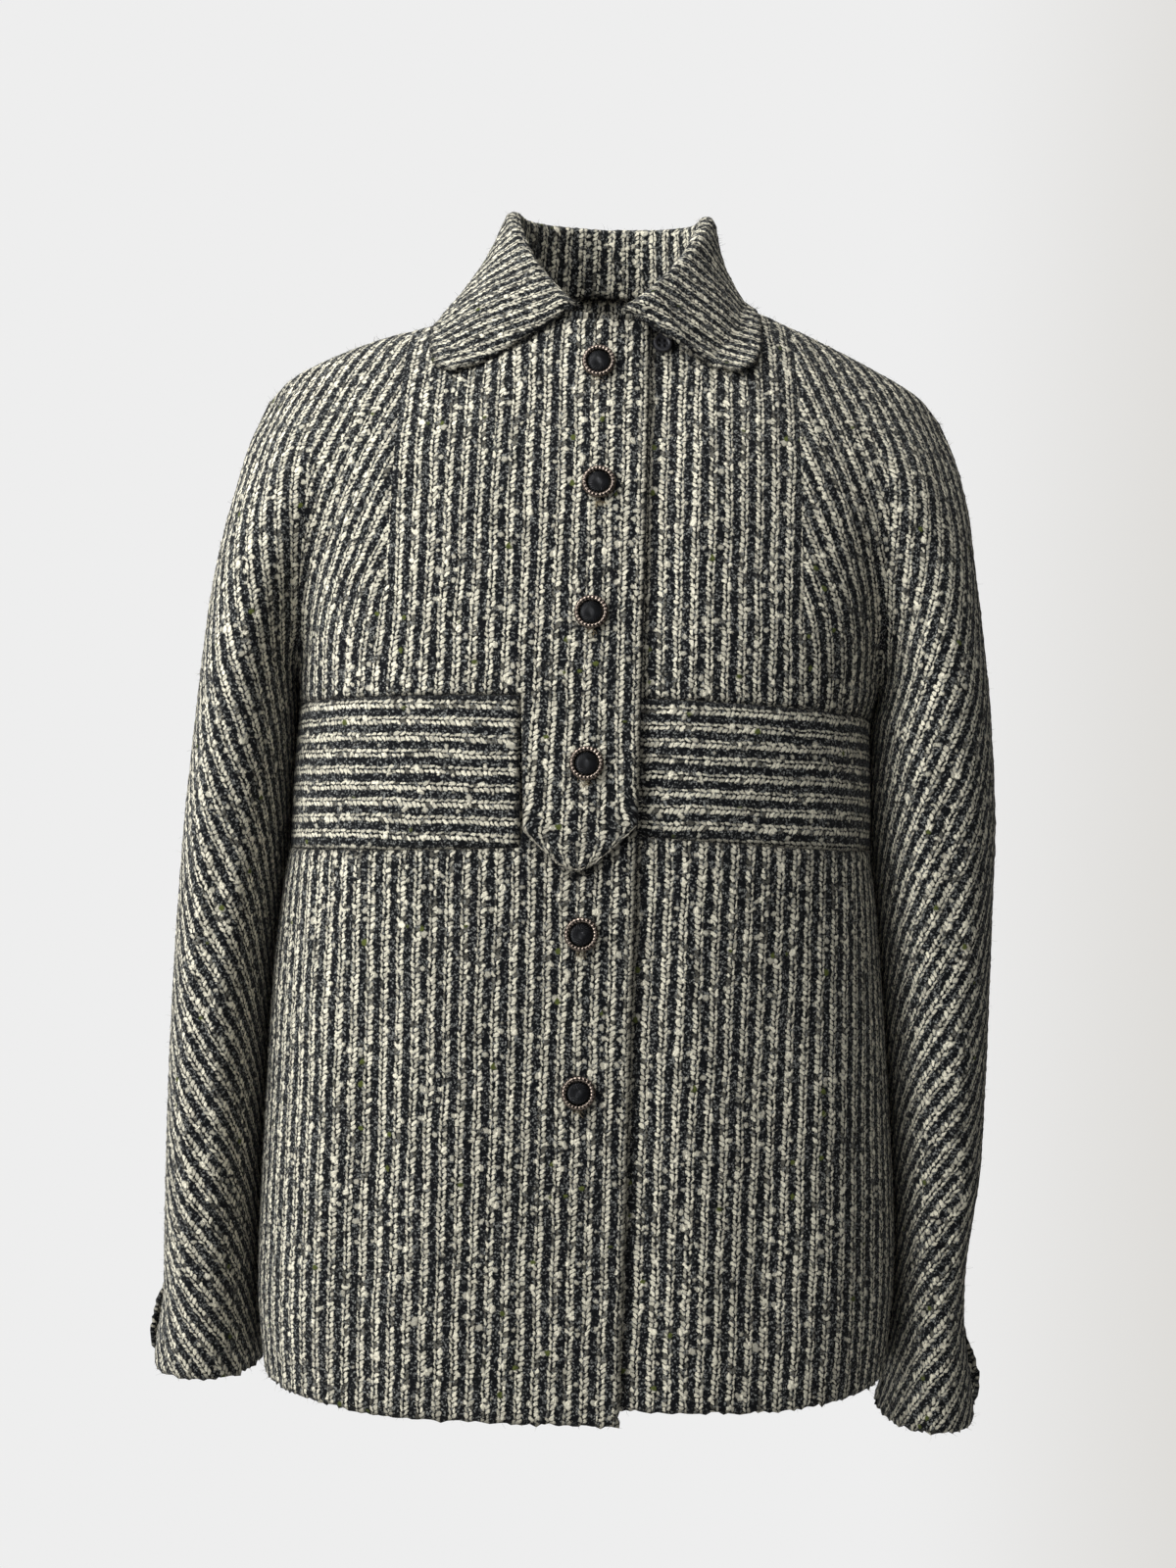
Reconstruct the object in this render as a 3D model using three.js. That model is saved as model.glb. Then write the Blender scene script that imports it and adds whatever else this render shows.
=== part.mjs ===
// Boucle jacket, hollow as worn: kimono-cut fronts and backs, midriff bands, tab, collar and buttons.
// +X is the wearer's left, +Y the back, +Z up; the origin lies at the middle of the neck opening.
// "out" is the distance from the middle of the jacket towards a sleeve, whichever half it is on.
import * as THREE from 'three';

// Driving sizes, millimetres.
const WALL = 2.4; // cloth thickness
const SEAM_GAP = 0.3; // clearance between pieces sewn together
const LAP = 3.4; // how far the lapping front lies above the one under it
const SEAM_Y = 6; // plane of the shoulder, side and sleeve seams
const UNDERARM_Z = -230;
const NECK_HALF = 60; // half the width of the neckline
const NECK_FRONT = 70; // neckline's reach forward of the seam plane
const NECK_BACK = 52;
const NECK_FRONT_Z = -22;
const NECK_BACK_Z = 12;
const SHOULDER_ROUND = 95; // height over which the shoulder turns into the chest
const SLEEVE_ROUND = 2.2; // squareness of the sleeve's section
const FOLD_BLEND = 5; // how tightly sleeve and body meet at the armpit
const SIDE_RISE = { high: 6, from: 105, to: 180 }; // how the hem climbs towards the side seams
const UNDER = { from: 28, to: 57 }; // where the left front comes up from under the right one
const VALLEY = { out: 158, top: -90, wide: 14 }; // line of the fold that runs down into the armpit
const SHOULDER_END = { out: 200, z: -66 };
const CUFF_CORNER = 14; // rounding of the cuff at its slit
const CUFF_FLARE = { high: 6, wide: 16 }; // how the cuff's back corner stands out beside its slit
const VENT_HEIGHT = 48;
const HEM_Z = { right: -639, left: -631, back: -637 };
const CUFF_Z = { right: -634, left: -652 };
const ARMPIT = { right: 175, left: 166 };

// Reach of the outer seam at each height.
const OUTLINE = [
  { z: -66, right: 199, left: 200 },
  { z: -90, right: 209, left: 209.5 },
  { z: -120, right: 216.5, left: 217 },
  { z: -150, right: 223, left: 221 },
  { z: -185, right: 228.5, left: 226 },
  { z: -225, right: 232, left: 231 },
  { z: -265, right: 235.5, left: 235 },
  { z: -305, right: 238.7, left: 237.6 },
  { z: -345, right: 241, left: 237.5 },
  { z: -400, right: 243, left: 237 },
  { z: -455, right: 244.2, left: 236.2 },
  { z: -510, right: 244.4, left: 234.2 },
  { z: -540, right: 244.2, left: 230 },
  { z: -565, right: 244, left: 227.5 },
  { z: -595, right: 244, left: 228 },
  { z: -615, right: 247, left: 231 },
  { z: -640, right: 249, left: 235 },
  { z: -660, right: 250, left: 237 },
];

// Height of the shoulder seam, from the neck to the shoulder's end.
const SHOULDER = [
  { out: 60, right: 0, left: 0 },
  { out: 82, right: -9.5, left: -2.5 },
  { out: 105, right: -18.5, left: -11 },
  { out: 130, right: -25.5, left: -22 },
  { out: 158, right: -36.5, left: -35.5 },
  { out: 186, right: -51.5, left: -51 },
  { out: SHOULDER_END.out, right: SHOULDER_END.z, left: SHOULDER_END.z },
];

// Body sections: half widths, reach forward and back of the seam plane, squareness.
const BODY = [
  { z: 0, right: 190, left: 190, front: 66, back: 56, square: 2.6 },
  { z: -22, right: 193, left: 193, front: 70, back: 66, square: 2.6 },
  { z: -60, right: 197, left: 197, front: 77, back: 82, square: 2.6 },
  { z: -118, right: 199, left: 198, front: 94, back: 96, square: 2.6 },
  { z: -160, right: 193, left: 190, front: 102, back: 99, square: 2.6 },
  { z: -200, right: 184, left: 177, front: 109, back: 100, square: 2.6 },
  { z: -230, right: 175, left: 166, front: 112.5, back: 98, square: 2.6 },
  { z: -246, right: 174, left: 162, front: 114, back: 97, square: 2.6 },
  { z: -292, right: 176, left: 163.4, front: 116, back: 95, square: 2.65 },
  { z: -327, right: 176.5, left: 164.2, front: 115.5, back: 93, square: 2.7 },
  { z: -350, right: 180, left: 168, front: 114.5, back: 92, square: 2.7 },
  { z: -400, right: 184.5, left: 173.5, front: 112.5, back: 92.5, square: 2.75 },
  { z: -456, right: 186.3, left: 178.6, front: 111, back: 95, square: 2.8 },
  { z: -545, right: 188, left: 185, front: 110, back: 100, square: 2.9 },
  { z: -590, right: 187, left: 184, front: 109.5, back: 103, square: 3 },
  { z: -640, right: 181, left: 178.5, front: 109, back: 104, square: 3 },
];

// Sleeve sections: reach of the inner seam on each side, depth forward and back of the seam plane.
const SLEEVE = [
  { z: -60, right: 128, left: 128, front: 40, back: 44 },
  { z: -90, right: 132, left: 132, front: 56, back: 60 },
  { z: -120, right: 139, left: 138, front: 64, back: 68 },
  { z: -160, right: 151, left: 148, front: 71, back: 77 },
  { z: -200, right: 164, left: 157, front: 74, back: 80 },
  { z: -230, right: 175, left: 166, front: 75, back: 81 },
  { z: -250, right: 175.2, left: 163.2, front: 75, back: 80 },
  { z: -300, right: 177.3, left: 164.6, front: 73, back: 77 },
  { z: -350, right: 181.3, left: 169.2, front: 71, back: 75 },
  { z: -400, right: 185.7, left: 174.7, front: 70, back: 72 },
  { z: -456, right: 187.7, left: 179.8, front: 68, back: 70 },
  { z: -545, right: 189.5, left: 186.4, front: 65, back: 66 },
  { z: -600, right: 189.4, left: 187.2, front: 60, back: 60 },
  { z: -636, right: 186, left: 184, front: 57, back: 54 },
  { z: -660, right: 182, left: 177, front: 56, back: 52 },
];

// Depth of the fold that runs down into the armpit.
const ARMPIT_FOLD = [
  { z: -70, front: 0, back: 0 },
  { z: -110, front: 3, back: 2 },
  { z: -160, front: 9, back: 5 },
  { z: -200, front: 13, back: 8 },
  { z: -222, front: 8, back: 5 },
  { z: -230, front: 0, back: 0 },
];

// Soft folds of the hanging cloth: place, lean (drift outwards going down), width and height.
const FOLDS = {
  'body right front': [
    { out: 142, top: -350, low: -660, lean: 14, wide: 15, high: 2.6 },
    { out: 112, top: -380, low: -670, lean: 10, wide: 13, high: -2.2 },
  ],
  'body left front': [
    { out: 136, top: -340, low: -665, lean: 10, wide: 14, high: 2.4 },
    { out: 98, top: -400, low: -680, lean: 8, wide: 15, high: -2 },
  ],
  'body right back': [
    { out: 118, top: -260, low: -665, lean: 12, wide: 20, high: 4 },
    { out: 66, top: -300, low: -680, lean: 12, wide: 18, high: -3 },
  ],
  'body left back': [
    { out: 108, top: -280, low: -670, lean: 14, wide: 19, high: 4.4 },
    { out: 58, top: -320, low: -675, lean: 10, wide: 17, high: -3 },
  ],
  'sleeve right front': [
    { out: 204, top: -250, low: -480, lean: 14, wide: 9, high: -3.4 },
    { out: 222, top: -380, low: -600, lean: -8, wide: 8, high: -2.6 },
  ],
  'sleeve left front': [
    { out: 196, top: -240, low: -440, lean: 16, wide: 9, high: -3.6 },
    { out: 214, top: -470, low: -600, lean: -10, wide: 8, high: -4 },
  ],
  'sleeve right back': [
    { out: 206, top: -260, low: -500, lean: 12, wide: 9, high: -4 },
  ],
  'sleeve left back': [
    { out: 204, top: -300, low: -560, lean: 8, wide: 9, high: -4.4 },
  ],
};

// Columns of a kimono piece: from the middle panel, past the side of the neck, to the armpit fold.
const PANEL_COLUMNS = {
  right: [-25, -14, -3, 6, 15, 28, 41],
  left: [-14, 6, 24, 41],
  back: [0.15, 20, 41],
};
const NECK_COLUMNS = [52, 58, 60];
const SHOULDER_COLUMNS = [78, 98, 118, 134, 146, 154, 160];
const SLEEVE_STEPS = 9;
const YOKE_STEPS = 11;
const SLEEVE_ROWS = 12;
const BACK_ROWS = 12;
const LOWER_ROWS = 8;
const BAND_ROWS = 3;
const TAB_ROWS = 5;
const HIP_COLUMNS = 10;
const LOWER_COLUMNS = { right: [-25, -4, 18, 36.5, 38.7, 41], left: [-14, 6, 24, 41] };

// The midriff band's seams fall a little towards the side; the tab ends in a rounded point.
const BAND_TOP = { middle: -239, side: -245 };
const BAND_LOW = { right: { middle: -317, side: -329 }, left: { middle: -310, side: -321 } };
const BAND_SPAN = 170; // how far round the band's seams have their full fall
const BAND_END = 0.74; // share of the tab's height that the band reaches down beside it
const BAND_CLEAR = 0.7; // gap between the band's end and the tab
const TAB = { left: 41, leftLow: 37.4, tipOut: 8.5, tipZ: -335, slope: 0.97, tipRadius: 7 };
const LOWER_TUCK = { z: -301, from: 36.5, to: 38.7 }; // the right lower front reaches up behind the tab
const TAB_LIFT = { from: -243, to: -290 };

// Collar by the angle round the neck from its back: stand height and the leaf's free edge.
const COLLAR = [
  { turn: 0, rise: 43, roll: 5, out: 0, y: 86, z: -14, bow: 3 },
  { turn: 30, rise: 45, roll: 5, out: 42, y: 80, z: -15, bow: 2 },
  { turn: 60, rise: 49, roll: 5, out: 78, y: 54, z: -16, bow: -1 },
  { turn: 82, rise: 53, roll: 5, out: 93, y: 20, z: -12, bow: -3 },
  { turn: 96, rise: 50, roll: 5, out: 98, y: -4, z: -13, bow: -3.5 },
  { turn: 112, rise: 42, roll: 4.6, out: 101, y: -20, z: -24, bow: -2 },
  { turn: 128, rise: 30, roll: 4.2, out: 101.5, y: -33, z: -34, bow: 1 },
  { turn: 145, rise: 18, roll: 3.6, out: 99, y: -43, z: -47, bow: 3 },
  { turn: 156, rise: 10, roll: 3, out: 93, y: -48, z: -56, bow: 3 },
  { turn: 164, rise: 5, roll: 2.2, out: 84, y: -51, z: -61, bow: 3 },
];
const COLLAR_END = { right: 163, left: 171 };
const COLLAR_SCALE = { right: 1, left: 0.86 }; // the leaf reaches less far out on the wearer's left
const COLLAR_RAISE = { right: 0, left: 9 }; // and lies higher, as that shoulder does
const COLLAR_COLUMNS = 30;
const LEAF_STEPS = 5;
const LEAF_CLEARANCE = 3.4;
const STAND_LEAN = 0.1; // how much the stand leans in towards the neck

// Buttons: place on the front and sizes.
const BUTTONS = [
  { x: -4, z: -49 },
  { x: -2, z: -120 },
  { x: -4, z: -193 },
  { x: -4, z: -276 },
  { x: -4, z: -369 },
  { x: -3, z: -456 },
];
const RIM = { radius: 9.5, tube: 3.1, high: 3.4 };
const FACE = { radius: 6.1, high: 3.6 };
const NECK_BUTTON = { x: 31.5, z: -36.5, radius: 5.5, high: 2, raise: 0.8, room: 2.6 };
const CUFF_BUTTON = { up: 24, back: 15, radius: 6.2, tube: 2, high: 2.6, face: 3.9 };
const CUFF_BUTTON_RAISE = { right: 0.8, left: 0.2 };
const SEAT = 0.35; // clearance under a button

const sideOf = (half) => (half === 'left' ? 1 : -1);
const mix = THREE.MathUtils.lerp;

// Eased step from 0 at one value to 1 at another, rising or falling.
function smooth(from, to, value) {
  const t = THREE.MathUtils.clamp((value - from) / (to - from), 0, 1);
  return t * t * (3 - 2 * t);
}

// Smooth reading of a table column between its rows.
function read(table, by, value, column) {
  const last = table.length - 1;
  const way = Math.sign(table[last][by] - table[0][by]);
  let k = 0;
  while (k < last - 1 && way * (value - table[k + 1][by]) > 0) k += 1;
  const span = table[k + 1][by] - table[k][by];
  const t = THREE.MathUtils.clamp((value - table[k][by]) / span, 0, 1);
  const slope = (i) => {
    const before = table[Math.max(i - 1, 0)];
    const after = table[Math.min(i + 1, last)];
    return (after[column] - before[column]) / (after[by] - before[by]);
  };
  const start = table[k][column];
  const end = table[k + 1][column];
  const ease = t * t * (3 - 2 * t);
  const lead = t * (1 - t) * (1 - t) * span * slope(k);
  const trail = t * t * (1 - t) * span * slope(k + 1);
  return mix(start, end, ease) + lead - trail;
}

const outerReach = (half, z) => read(OUTLINE, 'z', z, half);
const bodyReach = (half, z) => read(BODY, 'z', z, half);
const roundOff = (t, square) => Math.max(1 - Math.abs(t) ** square, 0) ** (1 / square);

// Top edge of a kimono piece: the neckline, then the shoulder seam.
function topLine(half, face, out) {
  const across = Math.min(Math.abs(out) / NECK_HALF, 1);
  const round = Math.sqrt(1 - across * across);
  if (round > 0) {
    const reach = face === 'front' ? NECK_FRONT : NECK_BACK;
    const low = face === 'front' ? NECK_FRONT_Z : NECK_BACK_Z;
    return { depth: reach * round, z: low * round ** 1.5 };
  }
  return { depth: 0, z: read(SHOULDER, 'out', Math.abs(out), half) };
}

function foldDepth(part, half, face, out, z) {
  let depth = 0;
  for (const fold of FOLDS[`${part} ${half} ${face}`]) {
    const along = THREE.MathUtils.clamp((fold.top - z) / (fold.top - fold.low), 0, 1);
    const place = fold.out + fold.lean * along;
    depth += fold.high * Math.sin(Math.PI * along) * Math.exp(-(((out - place) / fold.wide) ** 2));
  }
  return depth;
}

function bodyDepth(half, face, out, z) {
  const square = read(BODY, 'z', z, 'square');
  const round = roundOff(out / bodyReach(half, z), square);
  const fold = foldDepth('body', half, face, Math.abs(out), z) * smooth(0, 0.5, round);
  return read(BODY, 'z', z, face) * round + fold;
}

function sleeveDepth(half, face, out, z) {
  const inner = read(SLEEVE, 'z', z, half);
  const outer = outerReach(half, z);
  const round = roundOff((out - (inner + outer) / 2) / ((outer - inner) / 2), SLEEVE_ROUND);
  const fold = foldDepth('sleeve', half, face, out, z) * smooth(0, 0.6, round);
  return read(SLEEVE, 'z', z, face) * round + fold;
}

// Reach of the cloth from the seam plane, above the underarm, where body and sleeve are one.
function yokeDepth(half, face, out, z) {
  const body = bodyDepth(half, face, out, z);
  const sleeve = sleeveDepth(half, face, Math.abs(out), z);
  const joined = (body ** FOLD_BLEND + sleeve ** FOLD_BLEND) ** (1 / FOLD_BLEND);
  const valley = mix(VALLEY.out, ARMPIT[half], smooth(VALLEY.top, UNDERARM_Z, z));
  const fold = read(ARMPIT_FOLD, 'z', z, face) * Math.exp(-(((out - valley) / VALLEY.wide) ** 2));
  const full = Math.max(joined - fold, 0);
  const top = topLine(half, face, out);
  const down = THREE.MathUtils.clamp((top.z - z) / SHOULDER_ROUND, 0, 1);
  return top.depth + (full - top.depth) * Math.sqrt(1 - (1 - down) ** 2);
}

const depthAt = (half, face, out, z) =>
  z > UNDERARM_Z ? yokeDepth(half, face, out, z) : bodyDepth(half, face, out, z);

// A point on a piece's outer surface; lift moves it away from the wearer.
function place(half, face, out, z, depth, lift = 0) {
  const forward = face === 'front' ? -1 : 1;
  return new THREE.Vector3(sideOf(half) * out, SEAM_Y + forward * (SEAM_GAP / 2 + depth + lift), z);
}

// The left front passes under the right one near the middle.
const underLap = (half, out) => (half === 'left' ? LAP * (smooth(UNDER.from, UNDER.to, out) - 1) : 0);

const bandTop = (out) => mix(BAND_TOP.middle, BAND_TOP.side, (out / BAND_SPAN) ** 2);
const bandLow = (half, out) =>
  mix(BAND_LOW[half].middle, BAND_LOW[half].side, Math.sqrt(Math.max(out, 0) / BAND_SPAN));
const lowerTop = (half, out) => {
  const seam = bandLow(half, out) - SEAM_GAP / 2;
  const tucked = half === 'right' ? smooth(LOWER_TUCK.to, LOWER_TUCK.from, out) : 0;
  return mix(seam, LOWER_TUCK.z, tucked);
};
const hemZ = (key, out) => HEM_Z[key] + SIDE_RISE.high * smooth(SIDE_RISE.from, SIDE_RISE.to, out);

// One cloth piece: its outer surface as a grid, then a wall of even thickness behind it.
class Cloth {
  constructor(face = '') {
    this.face = face;
    this.points = [];
    this.locks = [];
    this.quads = [];
  }

  add(point, lock = '') {
    this.points.push(point);
    this.locks.push(lock);
    return this.points.length - 1;
  }

  grid(rows) {
    for (let i = 0; i + 1 < rows.length; i += 1) {
      for (let j = 0; j + 1 < rows[i].length; j += 1) {
        this.quads.push([rows[i][j], rows[i + 1][j], rows[i + 1][j + 1], rows[i][j + 1]]);
      }
    }
  }

  normals() {
    const normals = this.points.map(() => new THREE.Vector3());
    for (const quad of this.quads) {
      const [a, b, c, d] = quad.map((i) => this.points[i]);
      const normal = new THREE.Vector3().crossVectors(c.clone().sub(a), d.clone().sub(b));
      quad.forEach((i) => normals[i].add(normal));
    }
    normals.forEach((normal, i) => {
      for (const axis of this.locks[i]) normal[axis] = 0;
      normal.normalize();
    });
    return normals;
  }

  solid(flip) {
    if (flip) this.quads.forEach((quad) => quad.reverse());
    const normals = this.normals();
    const count = this.points.length;
    const inner = this.points.map((point, i) => point.clone().addScaledVector(normals[i], -WALL));
    for (const point of inner) {
      if (this.face === 'front') point.y = Math.min(point.y, SEAM_Y - SEAM_GAP / 2);
      if (this.face === 'back') point.y = Math.max(point.y, SEAM_Y + SEAM_GAP / 2);
    }
    const faces = [];
    const edges = new Map();
    for (const [a, b, c, d] of this.quads) {
      faces.push(a, b, c, a, c, d);
      faces.push(a + count, c + count, b + count, a + count, d + count, c + count);
      for (const [from, to] of [[a, b], [b, c], [c, d], [d, a]]) {
        if (edges.has(`${to},${from}`)) edges.delete(`${to},${from}`);
        else edges.set(`${from},${to}`, [from, to]);
      }
    }
    for (const [from, to] of edges.values()) {
      faces.push(to, from, from + count, to, from + count, to + count);
    }
    const geometry = new THREE.BufferGeometry();
    const flat = [...this.points, ...inner].flatMap((point) => point.toArray());
    geometry.setAttribute('position', new THREE.Float32BufferAttribute(flat, 3));
    geometry.setIndex(faces);
    return geometry;
  }
}

// Columns at the top edge, and at the underarm, of a kimono piece.
function columnsOf(key, half) {
  const panel = PANEL_COLUMNS[key];
  const top = [...panel, ...NECK_COLUMNS, ...SHOULDER_COLUMNS];
  const steps = NECK_COLUMNS.length + SHOULDER_COLUMNS.length;
  const reach = ARMPIT[half];
  const power = 2 / read(BODY, 'z', UNDERARM_Z, 'square');
  const start = Math.asin((panel[panel.length - 1] / reach) ** (1 / power));
  const low = [...panel];
  for (let k = 1; k <= steps; k += 1) {
    low.push(reach * Math.sin(mix(start, Math.PI / 2, k / steps)) ** power);
  }
  return { top, low, panel: panel.length - 1, fold: low.length - 1 };
}

// The yoke: rows from the neckline and shoulder seam down to the underarm, body and sleeve in one.
function yokeRows(cloth, half, face, columns) {
  const rows = [];
  const fold = columns.fold;
  for (let i = 0; i <= YOKE_STEPS; i += 1) {
    const down = (1 - Math.cos((Math.PI * i) / YOKE_STEPS)) / 2;
    const endZ = mix(SHOULDER_END.z, UNDERARM_Z, down);
    const valley = mix(columns.top[fold], columns.low[fold], down);
    const row = [];
    for (let j = 0; j <= fold + SLEEVE_STEPS; j += 1) {
      const share = (j - fold) / SLEEVE_STEPS;
      const bend = mix(Math.sin((share * Math.PI) / 2), (1 - Math.cos(share * Math.PI)) / 2, down);
      const tip = outerReach(half, endZ);
      const out = j <= fold ? mix(columns.top[j], columns.low[j], down) : mix(valley, tip, bend);
      const farTop = outerReach(half, SHOULDER_END.z);
      const topOut = j <= fold ? columns.top[j] : mix(columns.top[fold], farTop, bend);
      const z = mix(topLine(half, face, topOut).z, UNDERARM_Z, down);
      const outerSeam = j === fold + SLEEVE_STEPS;
      const seamed = outerSeam || (i === 0 && columns.top[j] >= NECK_HALF) || (i === 0 && j > fold);
      const depth = seamed ? 0 : yokeDepth(half, face, out, i === YOKE_STEPS ? UNDERARM_Z : z);
      const lap = face === 'front' && !seamed ? underLap(half, out) : 0;
      let lock = seamed ? 'y' : '';
      if (face === 'back' && j === 0) lock = 'x';
      if (i === YOKE_STEPS && j === fold) lock = 'xy';
      const atCrotch = lock === 'xy';
      row.push(cloth.add(place(half, face, out, z, atCrotch ? 0 : depth, lap), lock));
    }
    rows.push(row);
  }
  return rows;
}

// How far the back half of the cuff stands out beside its slit.
function cuffFlare(half, depth, z) {
  const open = smooth(0, VENT_HEIGHT, CUFF_Z[half] + VENT_HEIGHT - z);
  return CUFF_FLARE.high * open * Math.exp(-((depth / CUFF_FLARE.wide) ** 2));
}

// A point on the back of the cuff, at a distance from the slit.
function cuffPoint(half, depth, z) {
  const inner = read(SLEEVE, 'z', z, half);
  const outer = outerReach(half, z);
  const turn = roundOff(depth / read(SLEEVE, 'z', z, 'back'), SLEEVE_ROUND);
  const out = mix(inner, outer, 0.5 + turn / 2) + cuffFlare(half, depth, z);
  return place(half, 'back', out, z, depth);
}

// The sleeve below the underarm, with its corner rounded at the cuff's slit.
function sleeveRows(cloth, half, face, yokeEnd) {
  const rows = [yokeEnd];
  for (let i = 1; i <= SLEEVE_ROWS; i += 1) {
    const row = [];
    for (let j = 0; j <= SLEEVE_STEPS; j += 1) {
      const turn = (1 - Math.cos((j / SLEEVE_STEPS) * Math.PI)) / 2;
      const level = mix(UNDERARM_Z, CUFF_Z[half], (i / SLEEVE_ROWS) ** 0.92);
      const inner = read(SLEEVE, 'z', level, half);
      const seamed = j === 0 || j === SLEEVE_STEPS;
      const out = mix(inner, outerReach(half, level), turn);
      const depth = seamed ? 0 : sleeveDepth(half, face, out, level);
      const nearSlit = turn > 0.5 ? Math.max(CUFF_CORNER - depth, 0) : 0;
      const corner = CUFF_CORNER - Math.sqrt(CUFF_CORNER ** 2 - nearSlit ** 2);
      const low = smooth(UNDERARM_Z, CUFF_Z[half], level) ** 3;
      const flare = face === 'back' && turn > 0.5 ? cuffFlare(half, depth, level) : 0;
      const point = place(half, face, out + flare, level + corner * low, depth);
      row.push(cloth.add(point, seamed ? 'y' : ''));
    }
    rows.push(row);
  }
  return rows;
}

// Body columns below the underarm: the panel's own, then round to the side seam.
function bodyColumns(half, panel, steps, z) {
  const reach = bodyReach(half, z);
  const square = read(BODY, 'z', z, 'square');
  const last = panel[panel.length - 1];
  const start = Math.asin((last / reach) ** (square / 2));
  const columns = [...panel];
  for (let k = 1; k <= steps; k += 1) {
    columns.push(reach * Math.sin(mix(start, Math.PI / 2, k / steps)) ** (2 / square));
  }
  return columns;
}

function bodyRow(cloth, half, face, panel, steps, heightAt, rowLock = '') {
  const guess = bodyColumns(half, panel, steps, heightAt(90));
  return guess.map((out, j) => {
    const z = heightAt(out);
    const seamed = j === guess.length - 1;
    const reach = seamed ? bodyReach(half, z) : out;
    const depth = seamed ? 0 : bodyDepth(half, face, reach, z);
    const lap = face === 'front' ? underLap(half, out) : 0;
    let lock = rowLock + (seamed ? 'y' : '');
    if (face === 'back' && j === 0) lock += 'x';
    return cloth.add(place(half, face, reach, z, depth, seamed ? 0 : lap), lock);
  });
}

function tabBottom(out) {
  const away = Math.hypot(out - TAB.tipOut, TAB.tipRadius) - TAB.tipRadius;
  return TAB.tipZ + TAB.slope * away;
}

// How far the tab has come away from the seam line at a height.
function liftAt(z) {
  return LAP * (1 - smooth(TAB_LIFT.to, TAB_LIFT.from, z));
}

function frontUpper(half) {
  const cloth = new Cloth('front');
  const columns = columnsOf(half, half);
  const yoke = yokeRows(cloth, half, 'front', columns);
  cloth.grid(yoke);
  const under = yoke[YOKE_STEPS];
  const seam = under.slice(0, columns.fold + 1).map((id, j) => {
    const out = columns.low[j];
    const z = bandTop(out) + SEAM_GAP / 2;
    const seamed = j === columns.fold;
    const narrowed = out * (bodyReach(half, z) / ARMPIT[half]) ** smooth(TAB.left, BAND_SPAN, out);
    const reach = seamed ? bodyReach(half, z) : narrowed;
    const depth = seamed ? 0 : bodyDepth(half, 'front', reach, z);
    const lap = seamed ? 0 : underLap(half, out);
    return cloth.add(place(half, 'front', reach, z, depth, lap), seamed ? 'yz' : 'z');
  });
  cloth.grid([under.slice(0, columns.fold + 1), seam]);
  if (half === 'right') cloth.grid(tabRows(cloth, seam.slice(0, columns.panel + 1)));
  cloth.grid(sleeveRows(cloth, half, 'front', under.slice(columns.fold)));
  return cloth.solid(half === 'right');
}

function tabRows(cloth, seam) {
  seam.forEach((id, j) => {
    cloth.locks[id] = j === seam.length - 1 ? 'z' : '';
  });
  const rows = [seam];
  for (let i = 1; i <= TAB_ROWS; i += 1) {
    const down = i / TAB_ROWS;
    rows.push(PANEL_COLUMNS.right.map((start) => {
      const out = start > TAB.tipOut ? mix(start, start * (TAB.leftLow / TAB.left), down) : start;
      const z = mix(bandTop(Math.max(out, 0)), tabBottom(out), down);
      const depth = bodyDepth('right', 'front', out, z);
      return cloth.add(place('right', 'front', out, z, depth, liftAt(z)));
    }));
  }
  return rows;
}

function band(half) {
  const cloth = new Cloth('front');
  const start = half === 'right' ? null : PANEL_COLUMNS.left;
  const rows = [];
  for (let i = 0; i <= BAND_ROWS; i += 1) {
    const down = i / BAND_ROWS;
    const top = (out) => bandTop(out) - SEAM_GAP / 2;
    const low = (out) => bandLow(half, out) + SEAM_GAP / 2;
    const heightAt = (out) => mix(top(out), low(out), down);
    const edge = mix(TAB.left, TAB.leftLow, BAND_END * down) + BAND_CLEAR;
    const lock = i === 0 || i === BAND_ROWS ? 'z' : '';
    rows.push(bodyRow(cloth, half, 'front', start || [edge], HIP_COLUMNS, heightAt, lock));
  }
  cloth.grid(rows);
  return cloth.solid(half === 'right');
}

function frontLower(half) {
  const cloth = new Cloth('front');
  const rows = [];
  for (let i = 0; i <= LOWER_ROWS; i += 1) {
    const down = i / LOWER_ROWS;
    const heightAt = (out) => mix(lowerTop(half, out), hemZ(half, out), down);
    const lock = i === 0 ? 'z' : '';
    rows.push(bodyRow(cloth, half, 'front', LOWER_COLUMNS[half], HIP_COLUMNS, heightAt, lock));
  }
  cloth.grid(rows);
  return cloth.solid(half === 'right');
}

function back(half) {
  const cloth = new Cloth('back');
  const columns = columnsOf('back', half);
  const yoke = yokeRows(cloth, half, 'back', columns);
  cloth.grid(yoke);
  const under = yoke[YOKE_STEPS];
  const rows = [under.slice(0, columns.fold + 1)];
  const steps = columns.fold - columns.panel;
  for (let i = 1; i <= BACK_ROWS; i += 1) {
    const down = (i / BACK_ROWS) ** 1.2;
    const heightAt = (out) => mix(UNDERARM_Z, hemZ('back', out), down);
    rows.push(bodyRow(cloth, half, 'back', PANEL_COLUMNS.back, steps, heightAt));
  }
  cloth.grid(rows);
  cloth.grid(sleeveRows(cloth, half, 'back', under.slice(columns.fold)));
  return cloth.solid(half === 'left');
}

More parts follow.
